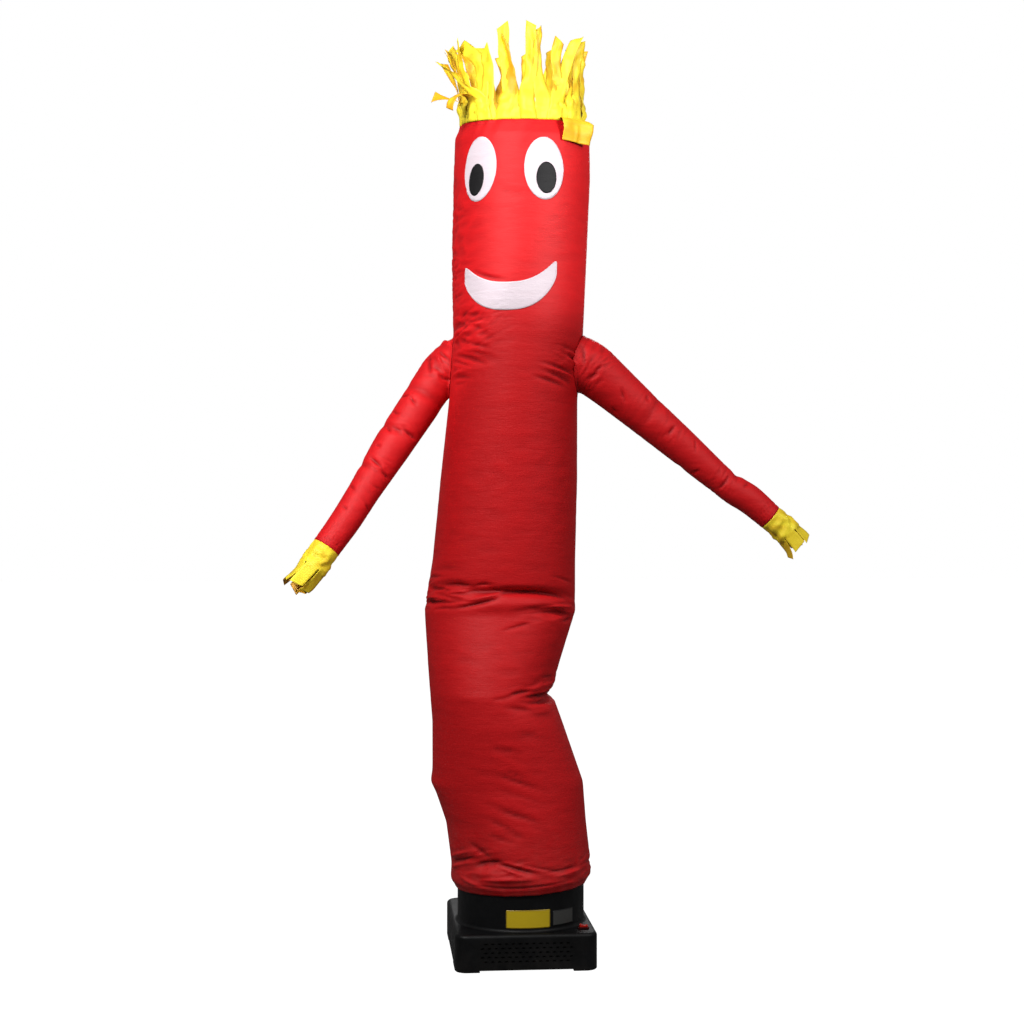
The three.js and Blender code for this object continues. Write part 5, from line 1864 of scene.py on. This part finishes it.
def nylon(name, colour, shadow, roughness, sheen, grid=1.0, dust_high=0.0, toned=False, relief=0.003):
    """Woven nylon: a colour that deepens to its shadow colour as painted shade in creases, and where toned
    cloth is dark, whose tone holds painted shade and tone that differs at random.
    """
    material, graph, surface = new_material(name, roughness, 0.28)
    surface["Sheen Weight"].default_value = sheen
    surface["Sheen Roughness"].default_value = 0.4
    surface["Sheen Tint"].default_value = (*colour, 1)
    places = graph.node("ShaderNodeTexCoord").outputs["Object"]
    flat = graph.node("ShaderNodeUVMap", {"uv_map": CLOTH_MAP}).outputs["UV"]
    weave = graph.group(weave_group(), Places=flat, Grid_strength=grid)
    creasing = graph.group(creasing_group(), Places=places)
    # the creasing's shade is painted shade in the hollows of its small creases
    shade = graph.maths("ADD", weave["Shade"], graph.maths("MULTIPLY", creasing["Shade"], -0.35))
    if toned:
        # a dark tone is painted shade in creases and on shaded strips, and tone that differs at random
        tone = graph.node("ShaderNodeAttribute", {"attribute_name": TONE_AND_SHADE}).outputs["Fac"]
        shade = graph.maths("ADD", shade, graph.spread(tone, 1.0, 0.0, -0.05, 0.75))
    deep = graph.spread(shade, -0.05, 0.6)
    mixed = graph.mix(deep, (*colour, 1), (*shadow, 1))
    if dust_high:
        dust = graph.group(soiling_group(), Places=places, Low=HEM_Z, High=dust_high, Amount=0.08)
        mixed = graph.mix(dust["Mask"], mixed, DUST)
    graph.feed(surface["Base Color"], mixed)
    height = graph.maths("ADD", graph.maths("MULTIPLY", weave["Height"], 0.035), creasing["Height"])
    bump(graph, surface, height, relief, 0.65)
    return material


def moulded(name, colour, roughness, rubbed=(0.12, 0.12, 0.13), grain=0.00012):
    """Moulded plastic with a fine grain, paler and smoother where hands have rubbed it."""
    material, graph, surface = new_material(name, roughness, 0.22)
    places = graph.node("ShaderNodeTexCoord").outputs["Object"]
    marks = graph.group(grain_group(), Places=places)
    wear = graph.maths("MULTIPLY", marks["Rubbed"], 0.04)
    mixed = graph.mix(wear, (*colour, 1), (*rubbed, 1))
    dust = graph.group(soiling_group(), Places=places, Low=0.0, High=0.13, Amount=0.03)
    graph.feed(surface["Base Color"], graph.mix(dust["Mask"], mixed, DUST))
    graph.feed(surface["Roughness"], graph.spread(marks["Rubbed"], 0.0, 1.0, roughness, roughness - 0.08))
    bump(graph, surface, marks["Height"], grain, 0.6)
    return material


def film(name, colour, border):
    """A printed film with a plain face, and a border that is a shade darker."""
    material, graph, surface = new_material(name, 0.38)
    flat = graph.node("ShaderNodeUVMap", {"uv_map": CLOTH_MAP}).outputs["UV"]
    parts = graph.node("ShaderNodeSeparateXYZ", Vector=flat).outputs
    edge = graph.maths(
        "MAXIMUM",
        graph.spread(graph.maths("ABSOLUTE", parts["X"]), 0.945, 0.955),
        graph.spread(graph.maths("ABSOLUTE", parts["Y"]), 0.87, 0.89),
    )
    places = graph.node("ShaderNodeTexCoord").outputs["Object"]
    marks = graph.group(grain_group(), Places=places)
    darker = tuple(c * 0.7 for c in colour)
    plain = graph.mix(graph.maths("MULTIPLY", marks["Rubbed"], 0.2), (*colour, 1), (*darker, 1))
    graph.feed(surface["Base Color"], graph.mix(edge, plain, (*border, 1)))
    bump(graph, surface, marks["Height"], 0.00005, 0.4)
    return material


# ---- Operators ----


def colour_property(name, description, rgb):
    return bpy.props.FloatVectorProperty(
        name=name, description=description, subtype="COLOR", size=3, default=linear(rgb)
    )


class AirDancerColours(bpy.types.PropertyGroup):
    """The colours of the cloth"""

    body: colour_property("Body", "Colour of the tube and the sleeves", (204, 14, 20))
    # painted shade: the colour that creases are painted in place of their shadow
    body_shadow: colour_property("Body in creases", "Colour of the body deep in its creases", (150, 5, 12))
    # painted shade: the colour of ribbons that lie in shade
    fringe: colour_property("Fringe", "Colour of the hair and the hands", (244, 224, 52))
    fringe_shadow: colour_property("Fringe in shade", "Colour of the darkest ribbons", (214, 152, 22))
    white: colour_property("White", "Colour of the eyes and the smile", (207, 193, 200))
    black: colour_property("Black", "Colour of the pupils", (13, 11, 13))


class AirDancerSizes(bpy.types.PropertyGroup):
    """The sizes of the sewing"""

    stitch_pitch: bpy.props.FloatProperty(
        name="Stitch pitch",
        description="Distance from one stitch to the next",
        unit="LENGTH",
        default=STITCH_PITCH,
    )


def chosen(*names):
    """The colours that the panel holds under these names."""
    colours = bpy.context.scene.air_dancer_colours
    return [tuple(getattr(colours, name)) for name in names]


def finish(name, make, *values, **choices):
    """A material, which is made the first time that a piece asks for it."""
    return bpy.data.materials.get(name) or make(name, *values, **choices)


# each nylon's second colour is the painted shade of its creases
def body_nylon():
    return finish("Red nylon", nylon, *chosen("body", "body_shadow"), 0.58, 0.1, dust_high=0.5, toned=True)


def fringe_nylon():
    colours = chosen("fringe", "fringe_shadow")
    return finish("Yellow nylon", nylon, *colours, 0.5, 0.2, 0.6, toned=True, relief=0.0016)


def white_nylon():
    return finish("White nylon", nylon, *chosen("white"), linear((196, 170, 176)), 0.55, 0.15, 0.5)


def black_nylon():
    return finish("Black nylon", nylon, *chosen("black"), linear((16, 14, 16)), 0.6, 0.05, 0.5)


def black_plastic():
    return finish("Black moulded plastic", moulded, linear((2, 2, 3)), 0.5)


def settle(piece, node, body=DANCER):
    """Hides the solid that a piece stands for, and says what it moves with."""
    if node:
        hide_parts(node)
    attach(piece, body)
    return piece


class AIRDANCER_OT_sew_tube(bpy.types.Operator):
    """Sew the body: one tall tube, open at its hem and its rim, with armholes"""

    bl_idname = "air_dancer.sew_tube"
    bl_label = "Sew the tube"

    def execute(self, context):
        tube = settle(sew_tube(body_nylon()), "body_tube")
        settle(stitch_lines("stitches_tube", tube_seam_lines(), body_nylon()), None)
        return {"FINISHED"}


class AIRDANCER_OT_sew_sleeves(bpy.types.Operator):
    """Sew the two sleeves, which blow up from the tube"""

    bl_idname = "air_dancer.sew_sleeves"
    bl_label = "Sew the sleeves"

    def execute(self, context):
        for arm in ARMS:
            sleeve = settle(sew_sleeve(arm, body_nylon()), f"arm_{arm.side}")
            lines = sleeve_seam_lines(arm)
            settle(stitch_lines(f"stitches_sleeve_{arm.side}", lines, body_nylon()), None)
        return {"FINISHED"}


class AIRDANCER_OT_cut_fringes(bpy.types.Operator):
    """Cut the hair and the hands, each a band with strips along one edge"""

    bl_idname = "air_dancer.cut_fringes"
    bl_label = "Cut the fringes"

    def execute(self, context):
        hair = settle(cut_hair(fringe_nylon()), "hair_fringe")
        for arm in ARMS:
            hand = cut_hand(arm, HANDS[arm.side], fringe_nylon())
            settle(hand, f"hand_fringe_{arm.side}")
        return {"FINISHED"}


class AIRDANCER_OT_sew_face(bpy.types.Operator):
    """Sew the eyes and the smile on the head"""

    bl_idname = "air_dancer.sew_face"
    bl_label = "Sew the face"

    def execute(self, context):
        white_lines, black_lines = [smile_seam_line()], []
        for eye in EYES:
            patch = sew_patch(f"eye_patch_{eye.side}", oval_edges(eye), PATCH_LIFT, white_nylon())
            settle(patch, f"eye_white_{eye.side}")
            white_lines.append(patch_seam_line(oval_edges(eye), PATCH_LIFT + THREAD_LIFT))
        for pupil in PUPILS:
            patch = sew_patch(f"pupil_patch_{pupil.side}", oval_edges(pupil), PUPIL_LIFT, black_nylon())
            settle(patch, f"pupil_{pupil.side}")
            black_lines.append(patch_seam_line(oval_edges(pupil), PUPIL_LIFT + THREAD_LIFT))
        smile = sew_patch("smile_patch", smile_edges(), PATCH_LIFT, white_nylon())
        settle(smile, "smile")
        settle(stitch_lines("stitches_white", white_lines, white_nylon()), None)
        settle(stitch_lines("stitches_black", black_lines, black_nylon()), None)
        return {"FINISHED"}


class AIRDANCER_OT_mould_blower(bpy.types.Operator):
    """Mould the blower: its housing, its collar, its films and the gland of its lead"""

    bl_idname = "air_dancer.mould_blower"
    bl_label = "Mould the blower"

    def execute(self, context):
        settle(mould_housing(black_plastic()), "blower_base")
        settle(mould_collar(black_plastic()), "blower_collar")
        settle(mould_gland(black_plastic()), "cable_gland")
        yellow = film("Yellow film", linear((196, 168, 18)), linear((150, 124, 10)))
        grey = film("Grey film", linear((62, 62, 60)), linear((22, 22, 22)))
        for item, material, slot in zip(FILMS, (yellow, grey), ("yellow_film", "grey_film")):
            settle(stick_film(item, material), item.node)
        return {"FINISHED"}


class AIRDANCER_OT_fit_switch(bpy.types.Operator):
    """Fit the rocker switch on the deck"""

    bl_idname = "air_dancer.fit_switch"
    bl_label = "Fit the switch"

    def execute(self, context):
        dull = moulded("Dark red plastic", linear((52, 5, 6)), 0.35)
        settle(mould_switch_frame(dull), "switch_bezel")
        glossy = moulded("Red plastic", linear((168, 26, 14)), 0.28, (0.6, 0.2, 0.1), 0.00003)
        settle(mould_rocker(glossy), "switch_rocker", ROCKER)
        return {"FINISHED"}


CAMERA = {"place": (-0.5233, -5.7764, 1.45), "lens": 62.68, "sensor": 36.0, "shift": -0.0033}
# Each lamp is a square of light: where it is, where it points, the length of its side and its power.
Lamp = namedtuple("Lamp", "name place target size power")
LAMPS = [
    Lamp("key", (-1.8, -3.0, 4.2), (-0.1, 0.0, 1.7), 1.2, 155),
    Lamp("fill", (2.3, -2.6, 3.4), (0.0, 0.0, 1.5), 1.4, 52),
    Lamp("back", (0.6, 4.2, 3.4), (0.0, 0.0, 1.4), 2.0, 70),
]
# Each beam is a spot: where it is, where it heads, its cone in degrees, how soft its edge is and its
# power. The first is so wide that its edge is nearly straight: it lights the head and one arm. The
# second lights the head alone.
Beam = namedtuple("Beam", "name place heading cone blend power")
BEAMS = [
    Beam("arm_beam", (-2.6, -4.8, 2.9), (-0.6294, 0.6339, 0.4495), 160, 0.02, 590),
    Beam("head_beam", (3.8, -4.0, 3.0), (-0.693, 0.718, -0.063), 14.5, 0.4, 730),
]
BEAM_SIZE = 0.04
FLOOR_HALF = 30.0
FLOOR_GLOW = 1.0
WORLD_LIGHT = 0.15
WHITE = (1, 1, 1, 1)


class AIRDANCER_OT_set_stage(bpy.types.Operator):
    """Set up the pale floor, the studio lights and the camera"""

    bl_idname = "air_dancer.set_stage"
    bl_label = "Set the stage"

    def execute(self, context):
        self.place_camera(context.scene)
        self.lay_floor()
        for lamp in LAMPS:
            self.light(lamp)
        for beam in BEAMS:
            self.shine(beam)
        context.scene.world = self.surroundings()
        context.scene.view_settings.view_transform = "Standard"
        return {"FINISHED"}

    def place_camera(self, scene):
        lens = bpy.data.cameras.new("camera")
        lens.lens, lens.sensor_width, lens.shift_y = CAMERA["lens"], CAMERA["sensor"], CAMERA["shift"]
        scene.camera = place_object("camera", lens)
        scene.camera.location = CAMERA["place"]
        scene.camera.rotation_euler = (math.radians(90), 0, FIGURE_TURN)

    def lay_floor(self):
        """A floor that is lit as grey and that the camera sees as white."""
        paper, graph, surface = new_material("White floor", 0.9, 0.1)
        surface["Base Color"].default_value = (0.14, 0.14, 0.14, 1)
        surface["Emission Color"].default_value = WHITE
        seen = graph.node("ShaderNodeLightPath").outputs["Is Camera Ray"]
        graph.feed(surface["Emission Strength"], graph.maths("MULTIPLY", seen, FLOOR_GLOW))
        corners = [(x * FLOOR_HALF, y * FLOOR_HALF, 0) for x, y in ((-1, -1), (1, -1), (1, 1), (-1, 1))]
        make_piece("floor", corners, [(0, 1, 2, 3)], paper)

    def surroundings(self):
        """White where the camera sees it, and a weak light on everything."""
        world = bpy.data.worlds.new("studio")
        world.use_nodes = True
        world.node_tree.nodes.clear()
        graph = Graph(world.node_tree)
        seen = graph.node("ShaderNodeLightPath").outputs["Is Camera Ray"]
        mixed = graph.node("ShaderNodeMixShader")
        graph.feed(mixed.inputs[0], seen)
        for socket, strength in ((1, WORLD_LIGHT), (2, 1.0)):
            shade = graph.node("ShaderNodeBackground", Color=WHITE, Strength=strength)
            graph.feed(mixed.inputs[socket], shade.outputs["Background"])
        graph.node("ShaderNodeOutputWorld", Surface=mixed.outputs["Shader"])
        return world

    def light(self, lamp):
        data = bpy.data.lights.new(lamp.name, "AREA")
        data.energy, data.size = lamp.power, lamp.size
        self.aim(place_object(lamp.name, data), lamp.place, lamp.target)

    def shine(self, beam):
        data = bpy.data.lights.new(beam.name, "SPOT")
        data.energy, data.shadow_soft_size = beam.power, BEAM_SIZE
        data.spot_size, data.spot_blend = math.radians(beam.cone), beam.blend
        self.aim(place_object(beam.name, data), beam.place, Vector(beam.place) + Vector(beam.heading))

    def aim(self, thing, place, target):
        thing.location = place
        thing.rotation_euler = (Vector(target) - Vector(place)).to_track_quat("-Z", "Y").to_euler()


STEPS = (
    AIRDANCER_OT_sew_tube,
    AIRDANCER_OT_sew_sleeves,
    AIRDANCER_OT_cut_fringes,
    AIRDANCER_OT_sew_face,
    AIRDANCER_OT_mould_blower,
    AIRDANCER_OT_fit_switch,
    AIRDANCER_OT_set_stage,
)


class AIRDANCER_PT_panel(bpy.types.Panel):
    """The steps that make the air dancer"""

    bl_idname = "AIRDANCER_PT_panel"
    bl_label = "Air Dancer"
    bl_space_type = "VIEW_3D"
    bl_region_type = "UI"
    bl_category = "Air Dancer"

    def draw(self, context):
        scene = context.scene
        for held in (scene.air_dancer_colours, scene.air_dancer_sizes):
            for name in type(held).__annotations__:
                self.layout.prop(held, name)
        for step in STEPS:
            self.layout.operator(step.bl_idname)


CLASSES = (AirDancerColours, AirDancerSizes, *STEPS, AIRDANCER_PT_panel)


def register():
    for item in CLASSES:
        bpy.utils.register_class(item)
    bpy.types.Scene.air_dancer_colours = bpy.props.PointerProperty(type=AirDancerColours)
    bpy.types.Scene.air_dancer_sizes = bpy.props.PointerProperty(type=AirDancerSizes)


def unregister():
    del bpy.types.Scene.air_dancer_sizes
    del bpy.types.Scene.air_dancer_colours
    for item in reversed(CLASSES):
        bpy.utils.unregister_class(item)


def main():
    register()
    for step in STEPS:
        family, name = step.bl_idname.split(".")
        getattr(getattr(bpy.ops, family), name)()


if __name__ == "__main__":
    main()
